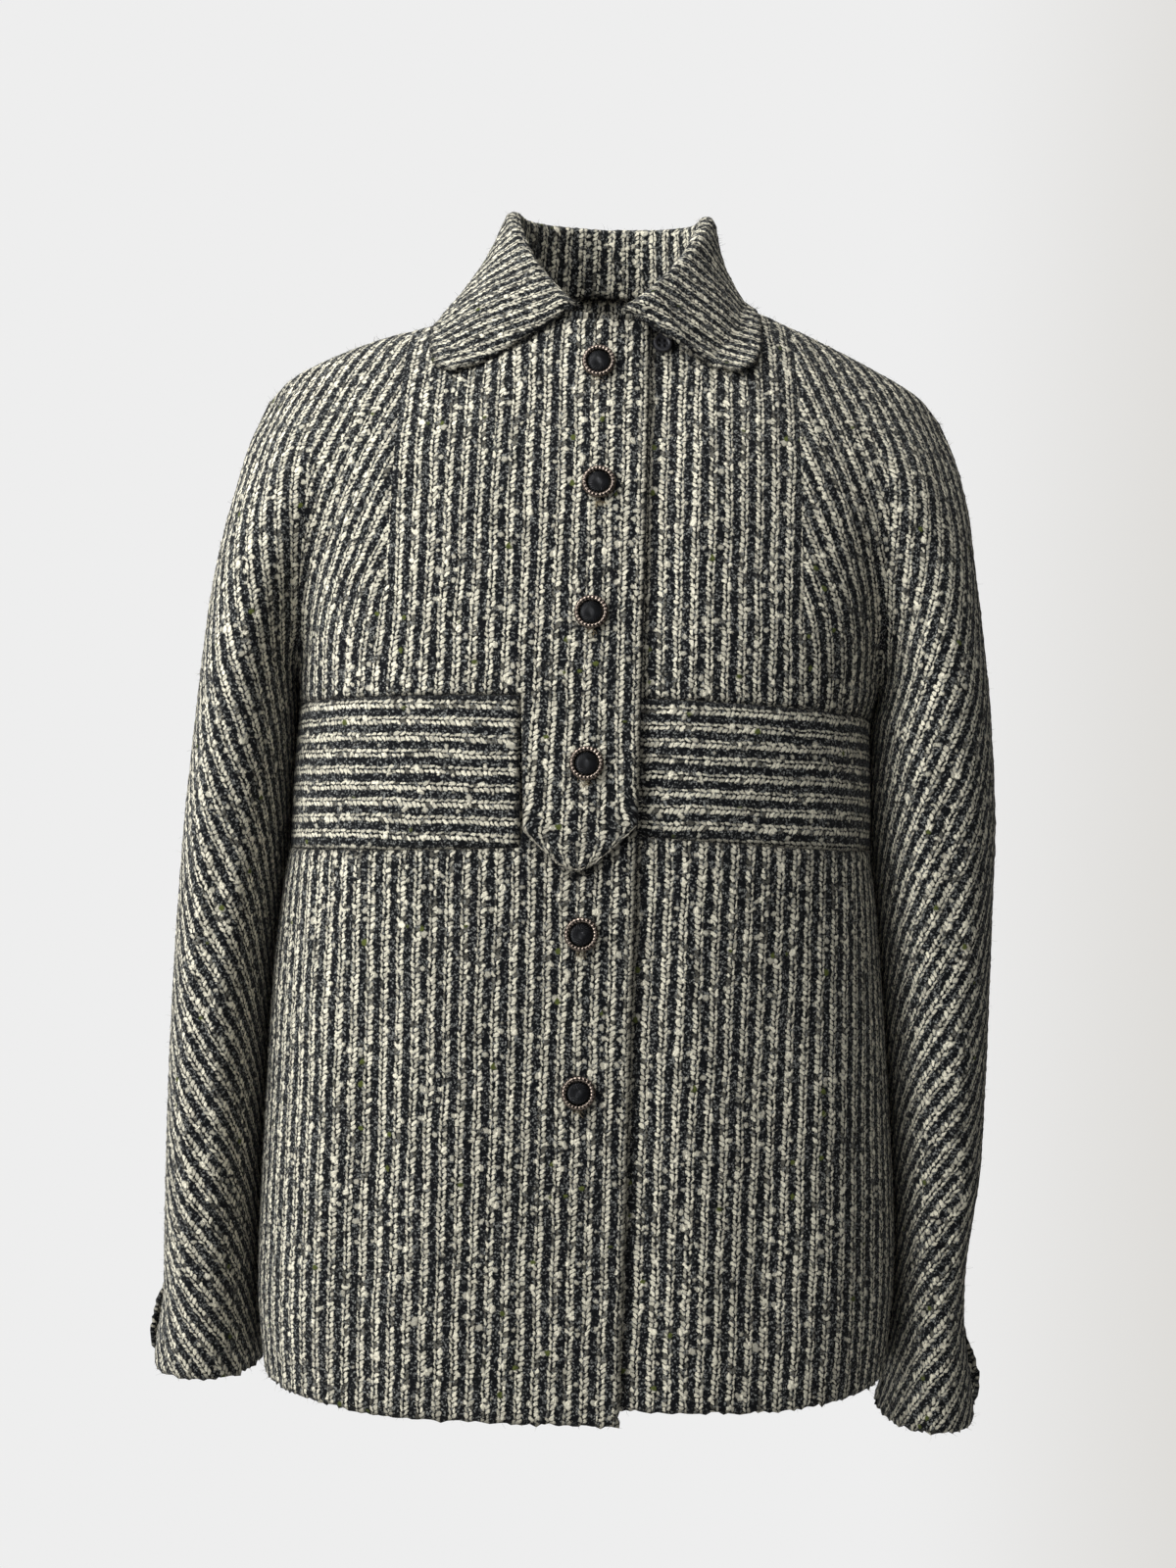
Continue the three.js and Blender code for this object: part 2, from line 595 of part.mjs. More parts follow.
// Height of the yoke's outer surface under a point of the collar, or beside it.
function yokeHeight(point, aside, behind) {
  const x = point.x + aside;
  const y = point.y + behind;
  const half = x < 0 ? 'right' : 'left';
  const face = y < SEAM_Y ? 'front' : 'back';
  const top = topLine(half, face, Math.abs(x));
  const full = bodyDepth(half, face, Math.abs(x), Math.min(point.z, top.z));
  const share = (Math.abs(y - SEAM_Y) - top.depth) / (full - top.depth);
  return top.z - SHOULDER_ROUND * (1 - Math.sqrt(1 - THREE.MathUtils.clamp(share, 0, 0.98) ** 2));
}

// Pushes a point of the collar off the fronts, shoulders and backs, with room for its own cloth.
function clearOfBody(point, need) {
  const probe = 0.5;
  for (let pass = 0; pass < 5; pass += 1) {
    const height = yokeHeight(point, 0, 0);
    const away = new THREE.Vector3(
      (height - yokeHeight(point, probe, 0)) / probe,
      (height - yokeHeight(point, 0, probe)) / probe,
      1,
    );
    const distance = (point.z - height) / away.length();
    if (distance < need) point.addScaledVector(away.normalize(), need - distance);
  }
  return point;
}

function collarColumn(turn) {
  const half = turn < 0 ? 'right' : 'left';
  const angle = THREE.MathUtils.degToRad(turn);
  const size = (Math.abs(turn) * COLLAR_END.right) / COLLAR_END[half];
  const face = Math.abs(turn) > 90 ? 'front' : 'back';
  const reach = face === 'front' ? NECK_FRONT : NECK_BACK;
  const ahead = Math.cos(angle);
  const baseX = NECK_HALF * Math.sin(angle);
  const baseZ = (face === 'front' ? NECK_FRONT_Z : NECK_BACK_Z) * Math.abs(ahead) ** 1.5 + SEAM_GAP;
  const base = new THREE.Vector3(baseX, SEAM_Y + reach * ahead, baseZ);
  const away = new THREE.Vector3(Math.sin(angle) / NECK_HALF, ahead / reach, 0).normalize();
  const roll = read(COLLAR, 'turn', size, 'roll');
  const rise = read(COLLAR, 'turn', size, 'rise');
  const at = (outward, up) =>
    base.clone().addScaledVector(away, outward - STAND_LEAN * up).setZ(baseZ + up);
  const inside = -WALL;
  const column = [at(inside, 0), at(inside, rise * 0.5), at(inside, rise - roll)];
  column.push(at(inside + roll * 0.35, rise - roll * 0.3));
  column.push(at(inside + roll, rise));
  column.push(at(inside + roll * 1.7, rise - roll * 0.35));
  const start = at(inside + roll * 2.05, rise - roll * 1.2);
  const edge = new THREE.Vector3(
    sideOf(half) * read(COLLAR, 'turn', size, 'out') * COLLAR_SCALE[half],
    read(COLLAR, 'turn', size, 'y'),
    read(COLLAR, 'turn', size, 'z') + COLLAR_RAISE[half] * Math.sin(angle) ** 2,
  );
  for (let k = 0; k <= LEAF_STEPS; k += 1) {
    const share = k / LEAF_STEPS;
    const point = start.clone().lerp(edge, share);
    point.addScaledVector(away, read(COLLAR, 'turn', size, 'bow') * Math.sin(Math.PI * share));
    const overButton = Math.hypot(point.x - NECK_BUTTON.x, point.z - NECK_BUTTON.z);
    const room = NECK_BUTTON.room * Math.exp(-((overButton / (2.5 * NECK_BUTTON.radius)) ** 2));
    column.push(clearOfBody(point, LEAF_CLEARANCE + room));
  }
  return column;
}

function collar() {
  const cloth = new Cloth();
  const rows = [];
  for (let i = 0; i <= COLLAR_COLUMNS; i += 1) {
    const turn = mix(-COLLAR_END.right, COLLAR_END.left, i / COLLAR_COLUMNS);
    rows.push(collarColumn(turn).map((point, j) => cloth.add(point, j === 0 ? 'z' : '')));
  }
  cloth.grid(rows);
  return cloth.solid(true);
}

// A point on a front's outer surface and its outward direction, where a button is sewn.
function seatOn(half, out, z, liftOf, radius) {
  const at = (dx, dz) => {
    const depth = depthAt(half, 'front', out + dx, z + dz);
    return place(half, 'front', out + dx, z + dz, depth, liftOf(out + dx, z + dz));
  };
  const across = at(radius, 0).sub(at(-radius, 0));
  const up = at(0, radius).sub(at(0, -radius));
  const normal = across.cross(up).normalize();
  if (normal.y > 0) normal.negate();
  return { point: at(0, 0), normal };
}

function ring(radius, tube, high, segments) {
  const inner = radius - tube;
  const profile = [[inner, 0], [radius - 0.5, 0], [radius, high * 0.45]];
  profile.push([radius - tube * 0.3, high * 0.95], [radius - tube * 0.65, high]);
  profile.push([inner, high * 0.6], [inner, 0]);
  return new THREE.LatheGeometry(profile.map(([x, y]) => new THREE.Vector2(x, y)), segments);
}

function dome(radius, high, segments) {
  const profile = [[0, 0], [radius, 0], [radius, high * 0.55], [radius * 0.7, high * 0.88], [0, high]];
  return new THREE.LatheGeometry(profile.map(([x, y]) => new THREE.Vector2(x, y)), segments);
}

const jacket = new THREE.Group();
const tweed = (shade) => new THREE.MeshStandardMaterial({ color: shade, roughness: 0.95, metalness: 0 });
const rimMetal = new THREE.MeshStandardMaterial({ color: 0x8d7a6b, roughness: 0.35, metalness: 1 });
const faceBlack = new THREE.MeshStandardMaterial({ color: 0x1d1e20, roughness: 0.6, metalness: 0 });
const hornGrey = new THREE.MeshStandardMaterial({ color: 0x3a3b3d, roughness: 0.4, metalness: 0 });

function addMesh(name, geometry, material, seat) {
  const mesh = new THREE.Mesh(geometry, material);
  mesh.name = name;
  if (seat) {
    mesh.position.copy(seat.point).addScaledVector(seat.normal, SEAT + (seat.raise || 0));
    mesh.quaternion.setFromUnitVectors(new THREE.Vector3(0, 1, 0), seat.normal);
  }
  jacket.add(mesh);
}

for (const half of ['right', 'left']) {
  addMesh(`${half}_front_upper`, frontUpper(half), tweed(0x7b7d78));
  addMesh(`${half}_front_band`, band(half), tweed(0x74766f));
  addMesh(`${half}_front_lower`, frontLower(half), tweed(0x7b7d78));
  addMesh(`${half}_back`, back(half), tweed(0x7b7d78));
}
addMesh('collar', collar(), tweed(0x7b7d78));

BUTTONS.forEach((button, index) => {
  const onTab = button.z > BAND_LOW.right.middle;
  const seat = seatOn('right', -button.x, button.z, (out, z) => (onTab ? liftAt(z) : 0), RIM.radius);
  addMesh(`button_rim_${index + 1}`, ring(RIM.radius, RIM.tube, RIM.high, 20), rimMetal, seat);
  addMesh(`button_face_${index + 1}`, dome(FACE.radius, FACE.high, 18), faceBlack, seat);
});

const ontoLeft = (out) => underLap('left', out);
const neckSeat = seatOn('left', NECK_BUTTON.x, NECK_BUTTON.z, ontoLeft, NECK_BUTTON.radius);
neckSeat.raise = NECK_BUTTON.raise;
addMesh('neck_button', dome(NECK_BUTTON.radius, NECK_BUTTON.high, 18), hornGrey, neckSeat);

for (const half of ['right', 'left']) {
  const z = CUFF_Z[half] + CUFF_BUTTON.up;
  const at = (away, up) => cuffPoint(half, CUFF_BUTTON.back + away, z + up);
  const across = at(CUFF_BUTTON.radius, 0).sub(at(-CUFF_BUTTON.radius, 0));
  const along = at(0, CUFF_BUTTON.radius).sub(at(0, -CUFF_BUTTON.radius));
  const normal = across.cross(along).normalize();
  if (normal.x * sideOf(half) < 0) normal.negate();
  const seat = { point: at(0, 0), normal, raise: CUFF_BUTTON_RAISE[half] };
  const rim = ring(CUFF_BUTTON.radius, CUFF_BUTTON.tube, CUFF_BUTTON.high, 16);
  addMesh(`${half}_cuff_button_rim`, rim, rimMetal, seat);
  addMesh(`${half}_cuff_button_face`, dome(CUFF_BUTTON.face, CUFF_BUTTON.high, 16), faceBlack, seat);
}

export default jacket;
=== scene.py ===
"""Striped boucle jacket: cloth shells, weave, buttons, sewing, light and camera.

Sizes are in millimetres, in the part's own frame, and become metres as each mesh is finished.
"out" is the distance from the middle of the jacket towards a sleeve, whichever half it is on.
"""
import heapq
import math

import bmesh
import bpy
import numpy as np
from mathutils import Matrix, Vector


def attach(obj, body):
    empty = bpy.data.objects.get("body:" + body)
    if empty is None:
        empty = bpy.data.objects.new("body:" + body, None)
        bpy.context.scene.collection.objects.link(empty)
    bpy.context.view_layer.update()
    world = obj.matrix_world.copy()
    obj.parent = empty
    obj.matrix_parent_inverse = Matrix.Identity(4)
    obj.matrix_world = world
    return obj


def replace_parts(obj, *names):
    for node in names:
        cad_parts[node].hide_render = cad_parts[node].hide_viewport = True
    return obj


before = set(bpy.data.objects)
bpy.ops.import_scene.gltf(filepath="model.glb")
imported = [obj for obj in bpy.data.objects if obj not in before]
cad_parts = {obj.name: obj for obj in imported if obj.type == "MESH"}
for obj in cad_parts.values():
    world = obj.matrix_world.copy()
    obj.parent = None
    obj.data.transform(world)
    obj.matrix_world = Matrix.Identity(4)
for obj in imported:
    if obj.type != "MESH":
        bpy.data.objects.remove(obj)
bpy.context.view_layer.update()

MM = 0.001
STEP = 2.6  # spacing of the cloth's grid
WALL = 2.4  # cloth thickness
SEAM_GAP = 0.3
LAP = 3.4  # how far the lapping front lies above the one under it
SEAM_Y = 6
UNDERARM_Z = -230
NECK_HALF = 60
NECK_REACH = {"front": 70, "back": 52}
NECK_Z = {"front": -22, "back": 12}
SHOULDER_ROUND = 95
SHOULDER_END = 200
SLEEVE_ROUND = 2.2
FOLD_BLEND = 5
SIDE_RISE = 6
CUFF_CORNER = 14
CUFF_FLARE = 6
VENT_HEIGHT = 48
PANEL_START = {"right": -25, "left": -14, "back": 0.15}
PANEL_END = 41
HEM_Z = {"right": -639, "left": -631, "back": -637}
CUFF_Z = {"right": -634, "left": -652}
ARMPIT = {"right": 175, "left": 166}
SIDE = {"right": -1, "left": 1}
FORWARD = {"front": -1, "back": 1}
VALLEY_TOP = 158
TOP_END = 160

# The shoulder dart: where it leaves the shoulder, its share of the way round, and where it ends.
DART_TOP = {"right": 115, "left": 108}
DART_SHARE = 0.36
DART_END = {"right": -181, "left": -192}
NECK_SHARE = 0.12


class Table:
    """Sizes in named columns, read smoothly between rows by the first column."""

    def __init__(self, names, rows):
        self.names = names.split()
        self.columns = dict(zip(self.names, np.array(rows, float).T))
        self.by = self.columns[self.names[0]]
        self.way = np.sign(self.by[-1] - self.by[0])
        last = len(self.by) - 1
        after = np.minimum(np.arange(last + 1) + 1, last)
        before = np.maximum(np.arange(last + 1) - 1, 0)
        self.span = self.by[after] - self.by[before]
        self.after = after
        self.before = before

    def read(self, column, value):
        values = self.columns[column]
        slope = (values[self.after] - values[self.before]) / self.span
        value = np.asarray(value, float)
        k = np.searchsorted(self.way * self.by, self.way * value) - 1
        k = np.clip(k, 0, len(self.by) - 2)
        step = self.by[k + 1] - self.by[k]
        t = np.clip((value - self.by[k]) / step, 0, 1)
        ease = t * t * (3 - 2 * t)
        lead = t * (1 - t) ** 2 * step * slope[k]
        trail = t * t * (1 - t) * step * slope[k + 1]
        return values[k] + (values[k + 1] - values[k]) * ease + lead - trail


# Reach of the outer seam at each height.
OUTLINE = Table("z right left", [
    (-66, 199, 200), (-90, 209, 209.5), (-120, 216.5, 217), (-150, 223, 221), (-185, 228.5, 226),
    (-225, 232, 231), (-265, 235.5, 235), (-305, 238.7, 237.6), (-345, 241, 237.5),
    (-400, 243, 237), (-455, 244.2, 236.2), (-510, 244.4, 234.2), (-540, 244.2, 230),
    (-565, 244, 227.5), (-595, 244, 228), (-615, 247, 231), (-640, 249, 235), (-660, 250, 237),
])

# Height of the shoulder seam.
SHOULDER = Table("out right left", [
    (60, 0, 0), (82, -9.5, -2.5), (105, -18.5, -11), (130, -25.5, -22), (158, -36.5, -35.5),
    (186, -51.5, -51), (200, -66, -66),
])

# Body sections: half widths, reach forward and back of the seam plane, squareness.
BODY = Table("z right left front back square", [
    (0, 190, 190, 66, 56, 2.6), (-22, 193, 193, 70, 66, 2.6), (-60, 197, 197, 77, 82, 2.6),
    (-118, 199, 198, 94, 96, 2.6), (-160, 193, 190, 102, 99, 2.6), (-200, 184, 177, 109, 100, 2.6),
    (-230, 175, 166, 112.5, 98, 2.6), (-246, 174, 162, 114, 97, 2.6),
    (-292, 176, 163.4, 116, 95, 2.65), (-327, 176.5, 164.2, 115.5, 93, 2.7),
    (-350, 180, 168, 114.5, 92, 2.7), (-400, 184.5, 173.5, 112.5, 92.5, 2.75),
    (-456, 186.3, 178.6, 111, 95, 2.8), (-545, 188, 185, 110, 100, 2.9),
    (-590, 187, 184, 109.5, 103, 3), (-640, 181, 178.5, 109, 104, 3),
])

# Sleeve sections: reach of the inner seam, depth forward and back of the seam plane.
SLEEVE = Table("z right left front back", [
    (-60, 128, 128, 40, 44), (-90, 132, 132, 56, 60), (-120, 139, 138, 64, 68),
    (-160, 151, 148, 71, 77), (-200, 164, 157, 74, 80), (-230, 175, 166, 75, 81),
    (-250, 175.2, 163.2, 75, 80), (-300, 177.3, 164.6, 73, 77), (-350, 181.3, 169.2, 71, 75),
    (-400, 185.7, 174.7, 70, 72), (-456, 187.7, 179.8, 68, 70), (-545, 189.5, 186.4, 65, 66),
    (-600, 189.4, 187.2, 60, 60), (-636, 186, 184, 57, 54), (-660, 182, 177, 56, 52),
])

# Depth of the fold that runs down into the armpit.
ARMPIT_FOLD = Table("z front back", [
    (-70, 0, 0), (-110, 3, 2), (-160, 9, 5), (-200, 13, 8), (-222, 8, 5), (-230, 0, 0),
])

# Lean of the stripes, in degrees outwards going down: beside the chest, and on the sleeves.
CHEST_LEAN = Table("z lean", [
    (-20, 17), (-60, 20), (-110, 23), (-170, 22), (-200, 14), (-225, 5), (-245, 2),
])
SLEEVE_LEAN = Table("z lean", [
    (-20, 17), (-66, 16), (-95, 8), (-125, -1), (-160, -8), (-200, -14), (-250, -20), (-300, -25),
    (-350, -29), (-450, -35), (-550, -38), (-655, -40),
])
FOLD_START = -92  # where the stripes of chest and sleeve part in the armpit fold

# Edges and seams: their painted shadow, how far they are turned in, and how rough the cloth is.
EDGE_WIDE = 3.8
EDGE_SHADE = 0.8
COLLAR_EDGE_SHADE = 1.15
EDGE_SINK = 0.9
SINK_WIDE = 2.8
SEAM_NEAR = 0.4  # what lies this near to the seam plane is on a side or shoulder seam
SLEEVE_INNER_END = 195  # inner and side seams lie nearer to the middle than this
CORNER_Z = -66  # the shoulder seam's lower end, where the sinking fades out
CORNER_REACH = 10
FREE_EDGE_Z = -590  # hem and cuffs lie below this
FREE_ROUGH = 0.5
NUB = 0.2
NUB_WIDE = 1.6
# Painted shadow on the left front beside the lapping edge: start, middle and half width.
LAP_SHADOW_START = 24
LAP_SHADOW_MIDDLE = 26.5
LAP_SHADOW_HALF = 4.5

# Soft folds of the hanging cloth: out at the top, top, low, lean outwards, width, height.
FOLDS = {
    ("body", "right", "front"): [
        (142, -350, -660, 14, 15, 2.6), (112, -380, -670, 10, 13, -2.2),
        (160, -300, -470, -6, 8, 1.2), (76, -440, -690, 4, 11, 1.0),
    ],
    ("body", "left", "front"): [
        (136, -340, -665, 10, 14, 2.4), (98, -400, -680, 8, 15, -2),
        (152, -290, -450, -5, 8, 1.2), (66, -470, -690, 5, 10, 0.9),
    ],
    ("body", "right", "back"): [
        (118, -260, -665, 12, 20, 4), (66, -300, -680, 12, 18, -3), (150, -300, -520, -4, 9, 1.4),
        (34, -360, -690, 3, 10, 1.0),
    ],
    ("body", "left", "back"): [
        (108, -280, -670, 14, 19, 4.4), (58, -320, -675, 10, 17, -3), (146, -320, -560, -5, 9, 1.3),
        (28, -420, -690, 3, 10, 0.9),
    ],
    ("sleeve", "right", "front"): [
        (204, -250, -480, 14, 9, -3.4), (222, -380, -600, -8, 8, -2.6),
        (200, -330, -450, 12, 5, 1.1), (228, -470, -560, -10, 5, 1.0),
    ],
    ("sleeve", "left", "front"): [
        (196, -240, -440, 16, 9, -3.6), (214, -470, -600, -10, 8, -4),
        (206, -360, -470, 10, 5, 1.2), (200, -520, -620, 12, 5, 1.1),
    ],
    ("sleeve", "right", "back"): [
        (206, -260, -500, 12, 9, -4), (220, -400, -560, -12, 6, 1.4), (202, -480, -610, 8, 6, -1.2),
    ],
    ("sleeve", "left", "back"): [
        (204, -300, -560, 8, 9, -4.4), (218, -380, -540, -12, 6, 1.3), (200, -500, -620, 8, 6, -1.1),
    ],
}

# The midriff band's seams and the rounded point of the tab.
BAND_TOP = (-239, -245)
BAND_LOW = {"right": (-317, -329), "left": (-310, -321)}
BAND_SPAN = 170
TAB_LEFT = 41
TAB_LEFT_LOW = 37.4
TAB_TIP_OUT = 8.5
TAB_TIP_Z = -335
TAB_SLOPE = 1.1
TAB_TIP_RADIUS = 12
TAB_LIFT_TOP = -243
TAB_PUFF = 0.9  # how much further its rounded end stands off
# Painted shadow below the tab's rounded end: its reach, and its strength.
TAB_SHADOW = 5
TAB_SHADE = 1.5
TAB_LIFT_LOW = -290
BAND_END = 0.74  # share of the tab's height that the band reaches down beside it
BAND_CLEAR = 0.7
TUCK_Z = -301  # the right lower front reaches up behind the tab

# Collar by the angle round the neck from its back: stand height, roll and the leaf's free edge.
COLLAR = Table("turn rise roll out y z bow", [
    (0, 43, 5, 0, 86, -14, 3), (30, 45, 5, 42, 80, -15, 2), (60, 49, 5, 78, 54, -16, -1),
    (82, 53, 5, 93, 20, -12, -3), (96, 50, 5, 98, -4, -13, -3.5), (112, 42, 4.6, 101, -20, -24, -2),
    (128, 30, 4.2, 101.5, -33, -34, 1), (145, 18, 3.6, 99, -43, -47, 3), (156, 10, 3, 93, -48, -56, 3),
    (164, 5, 2.2, 84, -51, -61, 3),
])
COLLAR_END = {"right": 163, "left": 171}
COLLAR_SCALE = {"right": 1, "left": 0.86}
COLLAR_RAISE = {"right": 0, "left": 9}
STAND_LEAN = 0.1
LEAF_CLEARANCE = 3.4
LEAF_LEAN = 0.3  # slope of the leaf's stripes against its grain, near its ends
LEAF_CLOSE = 1.3  # how much closer the stripes lie on the leaf
NECK_BUTTON_ROOM = 2.6

# Buttons: places on the front and sizes.
BUTTONS = [(-4, -49), (-2, -120), (-4, -193), (-4, -276), (-4, -369), (-3, -456)]
RIM_RADIUS = 9.5
RIM_TUBE = 3.1
RIM_HIGH = 3.4
RIM_FLUTES = 24
ROPE_DEPTH = 0.12
ROPE_TWIST = 2.6
FACE_RADIUS = 6.1
FACE_HIGH = 3.6
FACE_FLUTES = 24
FLUTE_DEPTH = 0.6
BACK_SHARE = 0.16  # share of a turned profile that goes over the button's back
NECK_BUTTON = (31.5, -36.5)
NECK_BUTTON_RADIUS = 5.5
NECK_BUTTON_HIGH = 2
NECK_BUTTON_RAISE = 0.8
NECK_BUTTON_DISH = 0.7
HOLE_OUT = 1.5
HOLE_RADIUS = 0.95
HOLE_DEEP = 1.15
CUFF_BUTTON_UP = 24
CUFF_BUTTON_BACK = 15
CUFF_RIM_RADIUS = 6.2
CUFF_RIM_TUBE = 2
CUFF_RIM_HIGH = 2.6
CUFF_RIM_FLUTES = 27
CUFF_FACE_RADIUS = 3.9
CUFF_FACE_FLUTES = 22
CUFF_BUTTON_RAISE = {"right": 0.8, "left": 0.2}
SEAT = 0.35

# The weave's repeat across the stripes, and the length of a bead in each column.
REPEAT = 9.0
BOLD_MIDDLE = 1.8
THIN_FROM = 3.2
THIN_MIDDLE = 4.4
DARK_FROM = 5.7
BOLD_BEAD = 2.9
THIN_BEAD = 3.6

# Camera, lights and floor, in metres and watts. Lights: place, aim, size, power.
CAMERA_AT = (-0.00285, -1.344, -0.287)
CAMERA_ROLL = 1.75
LENS = 52.0
AMBIENT = (0.75, 0.05)  # from the window side, and from the other
LIGHTS = {
    "window": ((-1.34, -0.93, 0.45), (0, 0, -0.32), 1.0, 36),
    "overhead": ((-0.1, -0.6, 1.3), (0, 0, -0.2), 1.4, 17),
    "rear": ((-0.6, 2.2, 1.2), (0, 0, -0.3), 2.0, 10),
}
FLOOR_Z = -1.42


def mix(start, end, share):
    return start + (end - start) * share


def smooth(start, end, value):
    """Eased step from 0 at one value to 1 at another, rising or falling."""
    t = np.clip((value - start) / (end - start), 0, 1)
    return t * t * (3 - 2 * t)


def round_off(t, square):
    return np.maximum(1 - np.abs(t) ** square, 0) ** (1 / square)


def top_line(half, face, out):
    """Depth and height of a kimono piece's top edge: the neckline, then the shoulder seam."""
    out = np.abs(out)
    across = np.minimum(out / NECK_HALF, 1)
    turn = np.sqrt(np.maximum(1 - across * across, 0))
    in_neck = turn > 0
    z = np.where(in_neck, NECK_Z[face] * turn**1.5, SHOULDER.read(half, out))
    return np.where(in_neck, NECK_REACH[face] * turn, 0), z


def fold_depth(part, half, face, out, z):
    depth = 0
    for place, top, low, lean, wide, high in FOLDS[part, half, face]:
        along = np.clip((top - z) / (top - low), 0, 1)
        offset = (out - place - lean * along) / wide
        depth = depth + high * np.sin(math.pi * along) * np.exp(-(offset**2))
    return depth


def body_depth(half, face, out, z):
    turn = round_off(out / BODY.read(half, z), BODY.read("square", z))
    fold = fold_depth("body", half, face, np.abs(out), z) * smooth(0, 0.5, turn)
    return BODY.read(face, z) * turn + fold


def sleeve_depth(half, face, out, z):
    inner = SLEEVE.read(half, z)
    outer = OUTLINE.read(half, z)
    turn = round_off((out - (inner + outer) / 2) / ((outer - inner) / 2), SLEEVE_ROUND)
    fold = fold_depth("sleeve", half, face, out, z) * smooth(0, 0.6, turn)
    return SLEEVE.read(face, z) * turn + fold


def yoke_depth(half, face, out, z):
    """Reach of the cloth from the seam plane above the underarm, where body and sleeve are one."""
    body = body_depth(half, face, out, z)
    sleeve = sleeve_depth(half, face, np.abs(out), z)
    joined = (body**FOLD_BLEND + sleeve**FOLD_BLEND) ** (1 / FOLD_BLEND)
    valley = mix(VALLEY_TOP, ARMPIT[half], smooth(-90, UNDERARM_Z, z))
    fold = ARMPIT_FOLD.read(face, z) * np.exp(-(((out - valley) / 14) ** 2))
    full = np.maximum(joined - fold, 0)
    top_depth, top_z = top_line(half, face, out)
    down = np.clip((top_z - z) / SHOULDER_ROUND, 0, 1)
    return top_depth + (full - top_depth) * np.sqrt(1 - (1 - down) ** 2)


def depth_at(half, face, out, z):
    return np.where(z > UNDERARM_Z, yoke_depth(half, face, out, z), body_depth(half, face, out, z))


def place(half, face, out, z, depth, lift=0):
    """Points of an outer surface, one for each value of the arrays."""
    y = SEAM_Y + FORWARD[face] * (SEAM_GAP / 2 + depth + lift)
    out, y, z = np.broadcast_arrays(SIDE[half] * np.asarray(out, float), y, z)
    return np.stack([out, y, z], -1)


def under_lap(half, out):
    """The left front passes under the right one near the middle."""
    return -LAP * (1 - smooth(28, 57, out)) if half == "left" else np.zeros_like(out)


def band_top(out):
    return mix(*BAND_TOP, (out / BAND_SPAN) ** 2)


def band_low(half, out):
    return mix(*BAND_LOW[half], np.sqrt(np.maximum(out, 0) / BAND_SPAN))


def lower_top(half, out):
    """Top edge of a lower front; the right one reaches up behind the tab."""
    seam = band_low(half, out) - SEAM_GAP / 2
    tucked = smooth(38.7, 36.5, out) if half == "right" else 0
    return mix(seam, TUCK_Z, tucked)


def hem_z(key, out):
    return HEM_Z[key] + SIDE_RISE * smooth(105, 180, out)


def spread(start, end, length):
    """Even shares from start to end with a grid step between them, without the last."""
    return np.linspace(start, end, max(int(round(length / STEP)), 2), endpoint=False)


class Columns:
    """Columns of a kimono piece: the middle panel, the side of the neck, the dart, the armpit."""

    def __init__(self, key, half):
        start = PANEL_START[key]
        panel = spread(start, PANEL_END, PANEL_END - start)
        turns = spread(math.asin(PANEL_END / NECK_HALF), math.pi / 2, 53)
        neck = NECK_HALF * np.sin(turns)
        neck_shares = spread(0, NECK_SHARE, 53)
        yoke = spread(NECK_HALF, DART_TOP[half], 62)
        yoke_shares = spread(NECK_SHARE, DART_SHARE, 62)
        side = np.append(spread(DART_TOP[half], TOP_END, 120), TOP_END)
        side_shares = np.append(spread(DART_SHARE, 1, 120), 1)
        self.half = half
        self.panel = panel
        self.top = np.concatenate([panel, neck, yoke, side])
        self.shares = np.concatenate([neck_shares, yoke_shares, side_shares])
        self.dart = len(panel) + len(neck) + len(yoke)
        self.fold = len(self.top) - 1
        self.low = self.at(np.array([UNDERARM_Z]), np.array([ARMPIT[half]]))[0]

    def at(self, z, reach=None):
        """Places of the columns below the underarm, one row for each height."""
        reach = BODY.read(self.half, z) if reach is None else reach
        power = (2 / BODY.read("square", z))[:, None]
        reach = reach[:, None]
        start = np.arcsin((PANEL_END / reach) ** (1 / power))
        outs = reach * np.sin(mix(start, math.pi / 2, self.shares[None, :])) ** power
        return np.hstack([np.repeat(self.panel[None, :], len(z), 0), outs])


def hip_columns(half, start, z):
    """Columns of a lower piece from its front edge round to the side seam."""
    panel = np.array([])
    first = np.asarray(start, float).reshape(-1, 1)
    if first.size == 1:
        panel = spread(start, PANEL_END + 0.5, PANEL_END + 0.5 - start)
        first = PANEL_END + 0.5
    reach = BODY.read(half, z)[:, None]
    power = (2 / BODY.read("square", z))[:, None]
    angle = np.arcsin((first / reach) ** (1 / power))
    shares = np.append(spread(0, 1, 205), 1)
    outs = reach * np.sin(mix(angle, math.pi / 2, shares[None, :])) ** power
    return np.hstack([np.repeat(panel[None, :], len(z), 0), outs])


def cuff_flare(half, depth, z):
    """How far the back half of the cuff stands out beside its slit."""
    opened = smooth(0, VENT_HEIGHT, CUFF_Z[half] + VENT_HEIGHT - z)
    return CUFF_FLARE * opened * np.exp(-((depth / 16) ** 2))


class Grid:
    """A stretch of cloth: points by row and column, the lean of its stripes, and its cuts.

    A cut names a column and the rows along which the stripes do not run on into the next grid.
    """

    def __init__(self, points, lean, cuts=()):
        self.points = points
        self.lean = np.broadcast_to(np.asarray(lean, float), points.shape[:2])
        self.tags = np.zeros(points.shape[:2], int)
        for column, first, stop, tag in cuts:
            self.tags[first:stop, column] = tag


DART_CUT = 1
FOLD_CUT = 2


